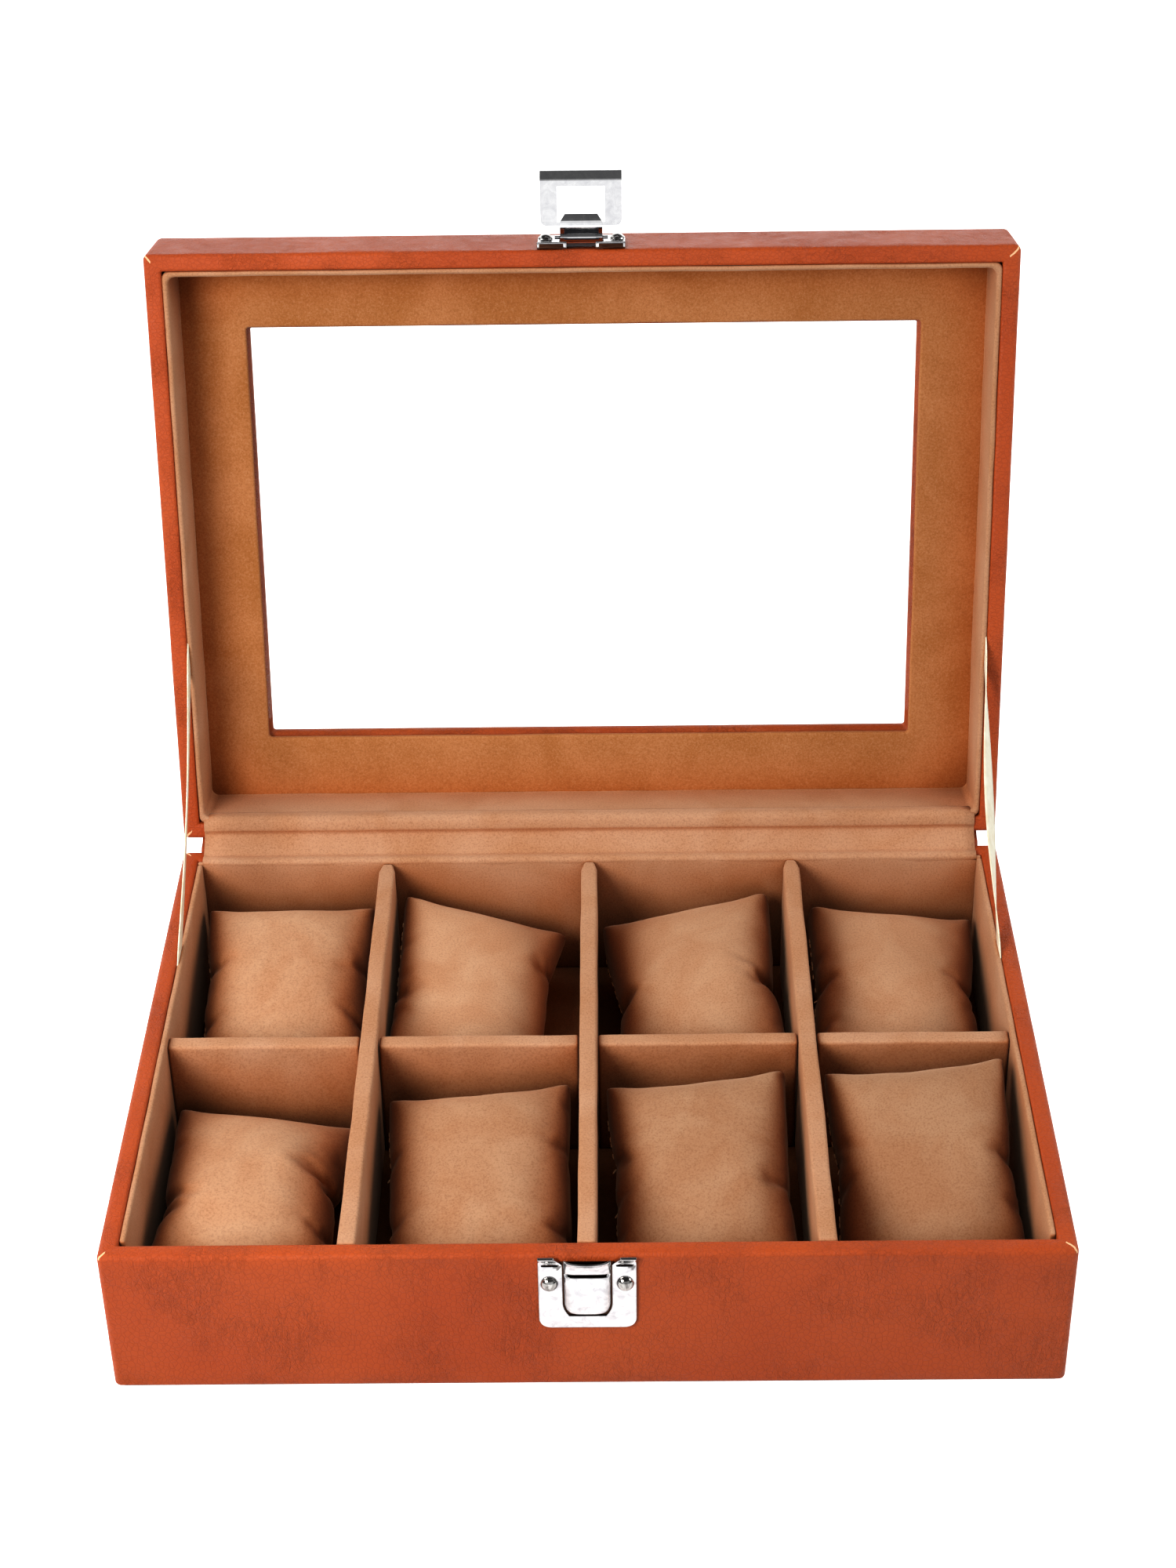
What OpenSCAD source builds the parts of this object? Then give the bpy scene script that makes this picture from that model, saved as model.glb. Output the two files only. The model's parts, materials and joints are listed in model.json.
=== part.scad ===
// Watch box: a wooden box covered in leather, lined in velvet, with a hinged lid around a glass
// window, eight loose cushions between velvet dividers, and a snap hasp at the front.
// Millimetres, +Z up. The origin is the centre of the underside, and the front faces -Y.
// The lid stands open at its stop. Lid parts are drawn closed and turned open by lid_frame().

/* [Box] */
// Outside width
box_w = 280; // [270:1:300]
// Outside depth, front to back
box_d = 202; // [196:1:216]
// Height of the base, from the underside to its rim
base_h = 52; // [50:1:60]
// Height of the lid, from its rim to its top
lid_h = 30; // [28:1:36]
// Angle that the lid turns from closed to its stop
lid_open = 102; // [95:1:104]
// Gap between the two rims when the lid is closed
rim_gap = 0.3; // [0.3:0.1:0.8]
// Radius of the upright outside corners
corner_r = 2; // [1:0.5:2.5]

/* [Walls] */
// Thickness of the wooden boards in the walls
board_t = 4; // [3:0.5:5]
// Thickness of the wooden floor and of the lid's top
flat_t = 3.2; // [2.5:0.1:4]
// Thickness of the leather skin
skin_t = 0.8; // [0.6:0.1:1]
// Depth of the leather folded down inside the rim
fold_h = 12; // [8:1:16]
// Thickness of the velvet covered card against the walls
liner_t = 1.8; // [1.4:0.1:2.2]
// How far the wall linings stay below the rim
liner_drop = 0.4; // [0.2:0.1:1]

/* [Window] */
// Width of leather and board around the window
window_margin = 28.6; // [24:0.2:34]
// Thickness of the glass
glass_t = 2; // [1.6:0.1:3]
// How far the glass reaches past the window opening
glass_lap = 8; // [5:1:12]
// Thickness of the velvet covered card frame under the glass
frame_t = 1.6; // [1.2:0.1:2.2]

/* [Dividers] */
// Thickness of the dividers
divider_t = 5.5; // [4:0.5:6]
// Distance between the three long dividers
divider_pitch = 69; // [66:0.5:72]
// Height of the long dividers' top edges
divider_top = 51.4; // [48:0.2:51.6]
// Height of the cross divider's top edge
cross_top = 49; // [46:0.5:51]
// Height where the two directions of divider slot together
slot_z = 28; // [24:1:32]

/* [Cushions] */
// Width of a cushion
cushion_w = 55; // [48:1:56]
// Length of a cushion, front to back
cushion_l = 78; // [70:1:80]
// Thickness of a cushion in its middle
cushion_h = 38; // [30:1:39]
// Thickness of a cushion at its side seams
cushion_edge = 22; // [14:1:26]

/* [Catch and hasp] */
// Width of the two metal plates
plate_w = 29; // [27:0.5:31]
// Height of the catch plate
catch_h = 27; // [24:0.5:28]
// Height of the hasp plate
hasp_plate_h = 22; // [20:0.5:23]
// Thickness of the sheet metal
sheet_t = 0.8; // [0.6:0.1:0.9]
// How far the plates' lips and nail heads stand out from the box
lip_out = 2.2; // [1.8:0.1:2.2]
// Distance of each nail from the centre
nail_x = 10.9; // [10.5:0.1:11.2]
// Distance of the nails and the hasp pin from the rim
nail_z = 10.4; // [10:0.1:11]
// Radius of the nail heads
nail_r = 2.6; // [2:0.1:2.6]
// Width of the spring tongue and of the hasp's knuckle
tongue_w = 13.6; // [12:0.2:13.6]
// Length of the hasp from its pin to its finger lip
hasp_l = 21; // [20.5:0.1:22]
// Width of the hasp
hasp_w = 26.2; // [25:0.2:27]
// Radius of the hasp pin
pin_r = 0.6; // [0.5:0.05:0.65]

/* [Soft joints] */
// How far the hinge axis lies behind the back of the box
hinge_back = 2.5; // [2:0.1:3]
// How far the hinge axis lies above the base's rim
hinge_up = 0.5; // [0:0.1:1]
// Thickness of the ribbons that stop the lid
ribbon_t = 0.4; // [0.3:0.1:0.6]
// Width of the ribbons
ribbon_w = 6; // [4:0.5:8]
// Distance of each ribbon from the back of the base
ribbon_base = 59; // [50:1:65]
// Distance of each ribbon from the back of the lid
ribbon_lid = 65; // [55:1:70]

/* [Hidden] */
$fn = 48;
eps = 0.02;

leather = "sienna";
leather_dark = "saddlebrown";
velvet = "peru";
wood = "burlywood";
metal = "silver";

half_w = box_w / 2;
half_d = box_d / 2;
wall_t = board_t + 2 * skin_t;
in_w = half_w - wall_t;
in_d = half_d - wall_t;
room_w = in_w - liner_t;
room_d = in_d - liner_t;
floor_z = skin_t + flat_t;
floor_liner_t = 1.5;
room_z = floor_z + floor_liner_t;

lid_z = base_h + rim_gap;
lid_top_z = lid_z + lid_h;
top_board_z = lid_top_z - skin_t - flat_t;
glass_z = top_board_z - glass_t;
frame_z = glass_z - frame_t;
window_w = half_w - window_margin;
window_d = half_d - window_margin;
reveal_w = window_w - skin_t;
reveal_d = window_d - skin_t;

hinge_y = half_d + hinge_back;
hinge_z = base_h + hinge_up;
pin_z = lid_z + nail_z;
pin_out = lip_out - 0.1;
knuckle_r = 2 * pin_r + 0.1;
hasp_in = pin_out + 0.5;
hasp_out = hasp_in + sheet_t;
catch_top = base_h - 0.8;
catch_low = catch_top - catch_h;
slot_w = tongue_w + 1;

// A point of the closed lid, given as distance from its back and height over its rim, turned open
function lid_point(s, n) = [
    hinge_y - (s + hinge_back) * cos(lid_open) + (n + rim_gap - hinge_up) * sin(lid_open),
    hinge_z + (s + hinge_back) * sin(lid_open) + (n + rim_gap - hinge_up) * cos(lid_open)
];

function arc(cx, cy, r, a0, a1, steps = 12) =
    [for (i = [0 : steps]) let (a = a0 + (a1 - a0) * i / steps) [cx + r * cos(a), cy + r * sin(a)]];

module lid_frame() {
    translate([0, hinge_y, hinge_z])
        rotate([-lid_open, 0, 0])
            translate([0, -hinge_y, -hinge_z])
                children();
}

// A flat shape drawn in width and height, made into a sheet that stands off the box's front
module front_sheet(out0, out1) {
    translate([0, -half_d - out0, 0])
        rotate([90, 0, 0])
            linear_extrude(out1 - out0)
                children();
}

module block(x0, x1, y0, y1, z0, z1) {
    translate([x0, y0, z0])
        cube([x1 - x0, y1 - y0, z1 - z0]);
}

module rounded_rect(hw, hd, r) {
    square([2 * hw - 2 * r, 2 * hd], center = true);
    square([2 * hw, 2 * hd - 2 * r], center = true);
    for (sx = [-1, 1])
        for (sy = [-1, 1])
            translate([sx * (hw - r), sy * (hd - r)])
                circle(r);
}

// ---- wooden boards -------------------------------------------------------------------------

module wall_across(side, z0, z1) {
    y1 = half_d - skin_t;
    mirror([0, side < 0 ? 1 : 0, 0])
        block(-half_w + skin_t, half_w - skin_t, y1 - board_t, y1, z0, z1);
}

module wall_along(side, z0, z1) {
    x1 = half_w - skin_t;
    y1 = half_d - skin_t - board_t;
    mirror([side < 0 ? 1 : 0, 0, 0])
        block(x1 - board_t, x1, -y1, y1, z0, z1);
}

module base_front_board() {
    color(wood) wall_across(-1, floor_z, base_h - skin_t);
}

module base_back_board() {
    color(wood) wall_across(1, floor_z, base_h - skin_t);
}

module base_left_board() {
    color(wood) wall_along(-1, floor_z, base_h - skin_t);
}

module base_right_board() {
    color(wood) wall_along(1, floor_z, base_h - skin_t);
}

module base_floor_board() {
    color(wood)
        block(-half_w + skin_t, half_w - skin_t, -half_d + skin_t, half_d - skin_t, skin_t, floor_z);
}

module lid_front_board() {
    color(wood) lid_frame() wall_across(-1, lid_z + skin_t, top_board_z);
}

module lid_back_board() {
    color(wood) lid_frame() wall_across(1, lid_z + skin_t, top_board_z);
}

module lid_left_board() {
    color(wood) lid_frame() wall_along(-1, lid_z + skin_t, top_board_z);
}

module lid_right_board() {
    color(wood) lid_frame() wall_along(1, lid_z + skin_t, top_board_z);
}

module lid_rail(side) {
    mirror([0, side < 0 ? 1 : 0, 0])
        block(-half_w + skin_t, half_w - skin_t, window_d, half_d - skin_t,
            top_board_z, lid_top_z - skin_t);
}

module lid_stile(side) {
    mirror([side < 0 ? 1 : 0, 0, 0])
        block(window_w, half_w - skin_t, -window_d, window_d, top_board_z, lid_top_z - skin_t);
}

module lid_top_front() {
    color(wood) lid_frame() lid_rail(-1);
}

module lid_top_back() {
    color(wood) lid_frame() lid_rail(1);
}

module lid_top_left() {
    color(wood) lid_frame() lid_stile(-1);
}

module lid_top_right() {
    color(wood) lid_frame() lid_stile(1);
}

// ---- leather -------------------------------------------------------------------------------

module base_underside() {
    inset = skin_t + 0.4;
    color(leather_dark)
        linear_extrude(skin_t)
            rounded_rect(half_w - inset, half_d - inset, corner_r);
}

// Skin around the outside of a tray's walls, over the rim and down inside it
module tray_skin(z_rim, z_far, up) {
    lo = min(z_rim, z_far);
    fold0 = up ? z_rim - fold_h : z_rim;
    board0 = up ? lo - 1 : z_rim + skin_t;
    board1 = up ? z_rim - skin_t : z_far + 1;
    difference() {
        translate([0, 0, lo])
            linear_extrude(abs(z_far - z_rim))
                rounded_rect(half_w, half_d, corner_r);
        difference() {
            block(-half_w + skin_t, half_w - skin_t, -half_d + skin_t, half_d - skin_t, board0, board1);
            block(-in_w - skin_t, in_w + skin_t, -in_d - skin_t, in_d + skin_t, fold0, fold0 + fold_h);
        }
        block(-in_w, in_w, -in_d, in_d, lo - 1, lo + abs(z_far - z_rim) + 1);
    }
}

module base_skin() {
    color(leather)
        tray_skin(base_h, 0.4, true);
}

module lid_skin() {
    color(leather)
        lid_frame()
            union() {
                tray_skin(lid_z, lid_top_z - skin_t, false);
                difference() {
                    translate([0, 0, lid_top_z - skin_t])
                        linear_extrude(skin_t)
                            rounded_rect(half_w, half_d, corner_r);
                    block(-reveal_w, reveal_w, -reveal_d, reveal_d, lid_top_z - 2, lid_top_z + 2);
                }
                difference() {
                    block(-window_w, window_w, -window_d, window_d, top_board_z, lid_top_z - skin_t);
                    block(-reveal_w, reveal_w, -reveal_d, reveal_d, top_board_z - 1, lid_top_z);
                }
            }
}

// Strip of leather along the outside of the back, glued to the base and to the lid
module hinge_leather() {
    r = 5;
    cy = half_d + skin_t / 2 + r;
    edge = lid_point(0, 0);
    line_drop = (cy - edge[0]) * tan(lid_open - 90);
    cz = edge[1] - line_drop - (r + skin_t / 2 + eps) / cos(lid_open - 90);
    far_in = lid_point(-eps, 15);
    far_out = lid_point(-skin_t, 15);
    r0 = r - skin_t / 2;
    r1 = r + skin_t / 2 - eps;
    a1 = 180 - lid_open;
    path = concat(
        [[cy - r1, base_h - 15]],
        arc(cy, cz, r1, 180, a1),
        [far_in, far_out],
        arc(cy, cz, r0, a1, 180),
        [[cy - r0, base_h - 15]]
    );
    color(leather)
        translate([-half_w + corner_r + 4, 0, 0])
            rotate([90, 0, 90])
                linear_extrude(box_w - 2 * corner_r - 8)
                    polygon(path);
}

// ---- velvet linings ------------------------------------------------------------------------

module liner_across(side, z0, z1) {
    mirror([0, side < 0 ? 1 : 0, 0])
        block(-in_w, in_w, room_d, in_d, z0, z1);
}

module liner_along(side, z0, z1) {
    mirror([side < 0 ? 1 : 0, 0, 0])
        block(room_w, in_w, -room_d, room_d, z0, z1);
}

module base_floor_liner() {
    color(velvet) block(-in_w, in_w, -in_d, in_d, floor_z, room_z);
}

module base_front_liner() {
    color(velvet) liner_across(-1, room_z, base_h - liner_drop);
}

module base_back_liner() {
    color(velvet) liner_across(1, room_z, base_h - liner_drop);
}

module base_left_liner() {
    color(velvet) liner_along(-1, room_z, base_h - liner_drop);
}

module base_right_liner() {
    color(velvet) liner_along(1, room_z, base_h - liner_drop);
}

module lid_front_liner() {
    color(velvet) lid_frame() liner_across(-1, lid_z + liner_drop, frame_z);
}

module lid_back_liner() {
    color(velvet) lid_frame() liner_across(1, lid_z + liner_drop, frame_z);
}

module lid_left_liner() {
    color(velvet) lid_frame() liner_along(-1, lid_z + liner_drop, frame_z);
}

module lid_right_liner() {
    color(velvet) lid_frame() liner_along(1, lid_z + liner_drop, frame_z);
}

module lid_window_liner() {
    color(velvet)
        lid_frame()
            difference() {
                block(-in_w, in_w, -in_d, in_d, frame_z, glass_z);
                block(-window_w, window_w, -window_d, window_d, frame_z - 1, glass_z + 1);
            }
}

module window_glass() {
    w = window_w + glass_lap;
    d = window_d + glass_lap;
    color("lightcyan", 0.4)
        lid_frame()
            block(-w, w, -d, d, glass_z, top_board_z);
}

// Velvet strip over the two back rims, with a crease between them
module hinge_velvet() {
    t = 0.5;
    low = base_h + eps;
    path = [
        [room_d, low], [half_d - 0.1, low],
        lid_point(0.5, -eps), lid_point(wall_t + liner_t, -eps),
        lid_point(wall_t + liner_t, -t), lid_point(0.9, -t),
        [half_d - 0.5, low + t], [room_d, low + t]
    ];
    color(velvet)
        translate([-room_w, 0, 0])
            rotate([90, 0, 90])
                linear_extrude(2 * room_w)
                    polygon(path);
}

// ---- dividers ------------------------------------------------------------------------------

module long_divider(x) {
    t = divider_t / 2;
    c = divider_t / 2 + 0.1;
    color(velvet)
        difference() {
            block(x - t, x + t, -room_d, room_d, room_z, divider_top);
            block(x - t - 1, x + t + 1, -c, c, room_z - 1, slot_z);
        }
}

module divider_left() {
    long_divider(-divider_pitch);
}

module divider_middle() {
    long_divider(0);
}

module divider_right() {
    long_divider(divider_pitch);
}

module divider_cross() {
    t = divider_t / 2;
    c = divider_t / 2 + 0.1;
    color(velvet)
        difference() {
            block(-room_w, room_w, -t, t, room_z, cross_top);
            for (x = [-1, 0, 1])
                block(x * divider_pitch - c, x * divider_pitch + c, -t - 1, t + 1, slot_z, cross_top + 1);
        }
}

// ---- cushions ------------------------------------------------------------------------------

module cushion_at(column, row) {
    edge = [-room_w, -divider_pitch, 0, divider_pitch, room_w];
    gap0 = column == 0 ? 0 : divider_t / 2;
    gap1 = column == 3 ? 0 : divider_t / 2;
    x = (edge[column] + gap0 + edge[column + 1] - gap1) / 2;
    y = (row == 0 ? 1 : -1) * (room_d + divider_t / 2) / 2;
    color(velvet)
        translate([x, y, room_z + cushion_h / 2 + 0.1])
            intersection() {
                cushion_face(1);
                cushion_face(-1);
                block(-cushion_w / 2, cushion_w / 2, -cushion_l / 2, cushion_l / 2, -cushion_h, cushion_h);
            }
}

// One face of a cushion: the inside of a large cylinder that crowns in the middle
module cushion_face(side) {
    half_span = cushion_w / 2;
    rise = (cushion_h - cushion_edge) / 2;
    r = (half_span * half_span + rise * rise) / (2 * rise);
    translate([0, 0, side * (cushion_h / 2 - r)])
        rotate([90, 0, 0])
            cylinder(r = r, h = 2 * cushion_l, center = true, $fn = 96);
}

module cushion_1() {
    cushion_at(0, 0);
}

module cushion_2() {
    cushion_at(1, 0);
}

module cushion_3() {
    cushion_at(2, 0);
}

module cushion_4() {
    cushion_at(3, 0);
}

module cushion_5() {
    cushion_at(0, 1);
}

module cushion_6() {
    cushion_at(1, 1);
}

module cushion_7() {
    cushion_at(2, 1);
}

module cushion_8() {
    cushion_at(3, 1);
}

// ---- catch on the base ---------------------------------------------------------------------

module plate_outline(z_rim, z_end) {
    r = 3.5;
    up = z_end > z_rim;
    zc = up ? z_end - r : z_end + r;
    translate([-plate_w / 2, min(z_rim, zc)])
        square([plate_w, abs(zc - z_rim)]);
    translate([-plate_w / 2 + r, min(z_rim, z_end)])
        square([plate_w - 2 * r, abs(z_end - z_rim)]);
    for (s = [-1, 1])
        translate([s * (plate_w / 2 - r), zc])
            circle(r);
}

module nail(z) {
    front_dome = lip_out - sheet_t;
    translate([0, -half_d - sheet_t, z])
        rotate([90, 0, 0])
            intersection() {
                sphere_r = (nail_r * nail_r + front_dome * front_dome) / (2 * front_dome);
                translate([0, 0, front_dome - sphere_r])
                    sphere(sphere_r);
                cylinder(r = nail_r, h = 2 * front_dome);
            }
}

module catch_plate() {
    color(metal)
        union() {
            front_sheet(0, sheet_t)
                difference() {
                    plate_outline(catch_top, catch_low);
                    translate([-slot_w / 2, catch_low + 6.4])
                        square([slot_w, catch_h]);
                }
            for (s = [-1, 1])
                front_sheet(sheet_t, lip_out)
                    translate([s * (plate_w / 2 - 3.3) - 3, catch_top - sheet_t])
                        square([6, sheet_t]);
        }
}

// Centre line of the spring tongue: [distance out, height below the catch's top]
tongue_line = [
    [0.5, 20.4], [1.3, 18.6], [2.0, 16.4], [2.4, 14], [2.55, 11.6], [2.4, 9.2], [2.0, 7.6],
    [1.55, 6.3], [1.6, 5.2], [2.1, 4.1], [2.8, 3], [3.4, 1.6], [3.8, 0.1]
];

module catch_tongue() {
    t = 0.35;
    n = len(tongue_line);
    inner = [for (p = tongue_line) [catch_top - p[1], -(p[0] - t)]];
    outer = [for (i = [n - 1 : -1 : 0]) [catch_top - tongue_line[i][1], -(tongue_line[i][0] + t)]];
    z_taper = catch_top - 15;
    z_low = catch_top - 21;
    color(metal)
        difference() {
            intersection() {
                translate([tongue_w / 2, -half_d, 0])
                    rotate([0, -90, 0])
                        linear_extrude(tongue_w)
                            polygon(concat(inner, outer));
                front_sheet(-1, 8)
                    polygon([
                        [-tongue_w / 2, catch_top], [-tongue_w / 2, z_taper],
                        [-tongue_w / 2 + 1.8, z_low], [tongue_w / 2 - 1.8, z_low],
                        [tongue_w / 2, z_taper], [tongue_w / 2, catch_top]
                    ]);
            }
            translate([0, -half_d + 2, catch_top + 6.8])
                rotate([90, 0, 0])
                    cylinder(r = 8, h = 12, $fn = 96);
        }
}

module catch_nail_left() {
    color(metal) translate([-nail_x, 0, 0]) nail(base_h - nail_z);
}

module catch_nail_right() {
    color(metal) translate([nail_x, 0, 0]) nail(base_h - nail_z);
}

// ---- hasp on the lid -----------------------------------------------------------------------

module pin_ear(x0, x1) {
    translate([x0, -half_d - pin_out, pin_z])
        rotate([0, 90, 0])
            difference() {
                union() {
                    cylinder(r = knuckle_r, h = x1 - x0);
                    translate([-knuckle_r, 0, 0])
                        cube([2 * knuckle_r, pin_out - sheet_t, x1 - x0]);
                }
                translate([0, 0, -1])
                    cylinder(r = pin_r, h = x1 - x0 + 2);
            }
}

module hasp_plate() {
    rim = lid_z + 0.6;
    ear_x = slot_w / 2 + 0.1;
    color(metal)
        lid_frame()
            union() {
                front_sheet(0, sheet_t)
                    difference() {
                        plate_outline(rim, lid_z + hasp_plate_h);
                        translate([-slot_w / 2, lid_z + 2])
                            square([slot_w, 12]);
                        translate([-4.6, rim - 1])
                            square([9.2, 4]);
                    }
                for (s = [-1, 1])
                    front_sheet(sheet_t, lip_out)
                        translate([s * 9.7 - 4.6, rim])
                            square([9.2, sheet_t]);
                pin_ear(ear_x, ear_x + 1);
                pin_ear(-ear_x - 1, -ear_x);
            }
}

module hasp_nail_left() {
    color(metal) lid_frame() translate([-nail_x - 0.7, 0, 0]) nail(pin_z + 4);
}

module hasp_nail_right() {
    color(metal) lid_frame() translate([nail_x + 0.7, 0, 0]) nail(pin_z + 4);
}

module hasp_pin() {
    l = slot_w + 2.6;
    color(metal)
        lid_frame()
            translate([-l / 2, -half_d - pin_out, pin_z])
                rotate([0, 90, 0])
                    cylinder(r = pin_r, h = l);
}

// The leaf lies in the plate's slot below the pin, where the closed hasp's inner tab passes over it
module hasp_spring() {
    color(metal)
        lid_frame()
            block(-5.6, 5.6, -half_d - 0.45, -half_d, lid_z + 2.6, lid_z + 8.4);
}

// The hasp is drawn hanging closed, then turned out until it stands in line with its pin
module hasp_closed() {
    far_z = pin_z - hasp_l;
    shoulder_z = pin_z - 3.65;
    bar_z = pin_z - 17.2;
    window_low = pin_z - 16.2;
    window_high = pin_z - 4.8;
    window_hw = tongue_w / 2 + 0.9;
    curl_r = bar_z - far_z;
    r = 2;
    union() {
        difference() {
            union() {
                translate([-tongue_w / 2, -half_d - pin_out, pin_z])
                    rotate([0, 90, 0])
                        cylinder(r = knuckle_r, h = tongue_w);
                front_sheet(hasp_in, hasp_out) {
                    translate([-tongue_w / 2, shoulder_z - 1])
                        square([tongue_w, pin_z - shoulder_z + 1]);
                    difference() {
                        union() {
                            translate([-hasp_w / 2, bar_z])
                                square([hasp_w, shoulder_z - r - bar_z]);
                            translate([-hasp_w / 2 + r, bar_z])
                                square([hasp_w - 2 * r, shoulder_z - bar_z]);
                            for (s = [-1, 1])
                                translate([s * (hasp_w / 2 - r), shoulder_z - r])
                                    circle(r);
                        }
                        translate([-window_hw, window_low])
                            square([2 * window_hw, window_high - window_low]);
                    }
                }
            }
            translate([-tongue_w, -half_d - pin_out, pin_z])
                rotate([0, 90, 0])
                    cylinder(r = pin_r + 0.05, h = 2 * tongue_w);
        }
        finger_lip(bar_z, curl_r);
        inner_tab();
    }
}

// The free end curls out away from the box for a finger to lift
module finger_lip(z, r) {
    path = concat(
        arc(z, -hasp_in - r, r, 90, 165),
        arc(z, -hasp_in - r, r - sheet_t, 165, 90)
    );
    translate([hasp_w / 2, -half_d, 0])
        rotate([0, -90, 0])
            linear_extrude(hasp_w)
                polygon(path);
}

// A bowed tab on the inner side of the knuckle that bears on the spring
module inner_tab() {
    tab_l = 7.6;
    bow = 1.1;
    t = 0.6;
    steps = 10;
    inner = [for (i = [0 : steps]) let (f = i / steps)
        [pin_z - knuckle_r * 0.5 - f * (tab_l - knuckle_r * 0.5), -pin_out + 0.35 + bow * sin(180 * f)]];
    outer = [for (i = [steps : -1 : 0]) [inner[i][0], inner[i][1] - t]];
    difference() {
        intersection() {
            translate([tongue_w / 2, -half_d, 0])
                rotate([0, -90, 0])
                    linear_extrude(tongue_w)
                        polygon(concat(inner, outer));
            front_sheet(-2, 8)
                polygon([
                    [-tongue_w / 2, pin_z], [-tongue_w / 2, pin_z - tab_l + 2.4],
                    [-tongue_w / 2 + 1.6, pin_z - tab_l], [tongue_w / 2 - 1.6, pin_z - tab_l],
                    [tongue_w / 2, pin_z - tab_l + 2.4], [tongue_w / 2, pin_z]
                ]);
        }
        translate([-tongue_w, -half_d - pin_out, pin_z])
            rotate([0, 90, 0])
                cylinder(r = knuckle_r - 0.2, h = 2 * tongue_w);
    }
}

module hasp() {
    color(metal)
        lid_frame()
            translate([0, -half_d - pin_out, pin_z])
                rotate([-90, 0, 0])
                    translate([0, half_d + pin_out, -pin_z])
                        hasp_closed();
}

// ---- ribbons -------------------------------------------------------------------------------

module ribbon(side) {
    half = ribbon_w / 2 / sin(42);
    y0 = half_d - ribbon_base;
    low = base_h + eps;
    path = [
        [y0 - half, low], [y0 + half, low],
        lid_point(ribbon_lid - half, -eps), lid_point(ribbon_lid + half, -eps)
    ];
    color("ivory")
        translate([side * (in_w - 0.3) - ribbon_t / 2, 0, 0])
            rotate([90, 0, 90])
                linear_extrude(ribbon_t)
                    polygon(path);
}

module ribbon_left() {
    ribbon(-1);
}

module ribbon_right() {
    ribbon(1);
}

base_underside();
base_floor_board();
base_front_board();
base_back_board();
base_left_board();
base_right_board();
base_skin();
base_floor_liner();
base_front_liner();
base_back_liner();
base_left_liner();
base_right_liner();
divider_left();
divider_middle();
divider_right();
divider_cross();
cushion_1();
cushion_2();
cushion_3();
cushion_4();
cushion_5();
cushion_6();
cushion_7();
cushion_8();
catch_plate();
catch_tongue();
catch_nail_left();
catch_nail_right();
lid_front_board();
lid_back_board();
lid_left_board();
lid_right_board();
lid_top_front();
lid_top_back();
lid_top_left();
lid_top_right();
lid_skin();
window_glass();
lid_front_liner();
lid_back_liner();
lid_left_liner();
lid_right_liner();
lid_window_liner();
hasp_plate();
hasp_nail_left();
hasp_nail_right();
hasp_pin();
hasp_spring();
hasp();
hinge_leather();
hinge_velvet();
ribbon_left();
ribbon_right();
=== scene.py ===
"""The looks of the watch box: leather wraps, velvet linings, simulated cushions, ribbons and chrome.

Shapes are drawn in millimetres. Pieces of the lid are drawn closed, then turned open with the lid.
"""
import json
import math

import bpy
from mathutils import Matrix, Vector, noise


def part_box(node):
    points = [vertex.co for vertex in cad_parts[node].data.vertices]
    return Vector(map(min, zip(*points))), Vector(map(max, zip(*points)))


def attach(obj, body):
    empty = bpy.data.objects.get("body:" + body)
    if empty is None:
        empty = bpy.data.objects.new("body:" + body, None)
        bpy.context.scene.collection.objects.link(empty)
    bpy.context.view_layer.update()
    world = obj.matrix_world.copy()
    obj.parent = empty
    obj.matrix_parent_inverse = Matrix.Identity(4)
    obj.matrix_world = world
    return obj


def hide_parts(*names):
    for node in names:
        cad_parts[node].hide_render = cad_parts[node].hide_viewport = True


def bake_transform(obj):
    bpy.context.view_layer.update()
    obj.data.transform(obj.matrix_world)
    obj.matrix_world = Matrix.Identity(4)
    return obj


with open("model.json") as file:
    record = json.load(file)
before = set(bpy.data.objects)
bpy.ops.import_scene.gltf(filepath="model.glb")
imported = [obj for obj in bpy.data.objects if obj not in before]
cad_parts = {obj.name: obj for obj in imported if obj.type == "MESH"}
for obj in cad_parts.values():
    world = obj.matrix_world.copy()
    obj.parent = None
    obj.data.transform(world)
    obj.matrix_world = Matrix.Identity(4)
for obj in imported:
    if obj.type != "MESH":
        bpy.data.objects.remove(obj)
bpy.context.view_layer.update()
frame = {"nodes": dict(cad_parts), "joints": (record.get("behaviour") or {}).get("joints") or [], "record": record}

MM = 0.001

# Unseeded, noise_vector() starts from the clock, and wobble() differs from run to run
noise.seed_set(7)

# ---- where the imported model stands, in millimetres ----

lid_joint = next(j for j in frame["joints"] if j["name"] == "lid_hinge")
pivot = Vector(lid_joint["pos_m"]) / MM
open_angle = math.radians(-lid_joint["range_deg"][0])
OPENING = (
    Matrix.Translation(pivot)
    @ Matrix.Rotation(open_angle, 4, Vector(lid_joint["axis"]))
    @ Matrix.Translation(-pivot)
)


def box_of(node):
    """Lowest and highest corner of a node, in millimetres. A lid node is measured closed."""
    turn = OPENING.inverted() if node in LID_NODES else Matrix.Identity(4)
    points = [turn @ (v.co / MM) for v in frame["nodes"][node].data.vertices]
    low = Vector(min(p[i] for p in points) for i in range(3))
    high = Vector(max(p[i] for p in points) for i in range(3))
    return low, high


groups = frame["record"]["behaviour"]["bodies"]
LID_NODES = set(groups["lid"])

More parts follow.
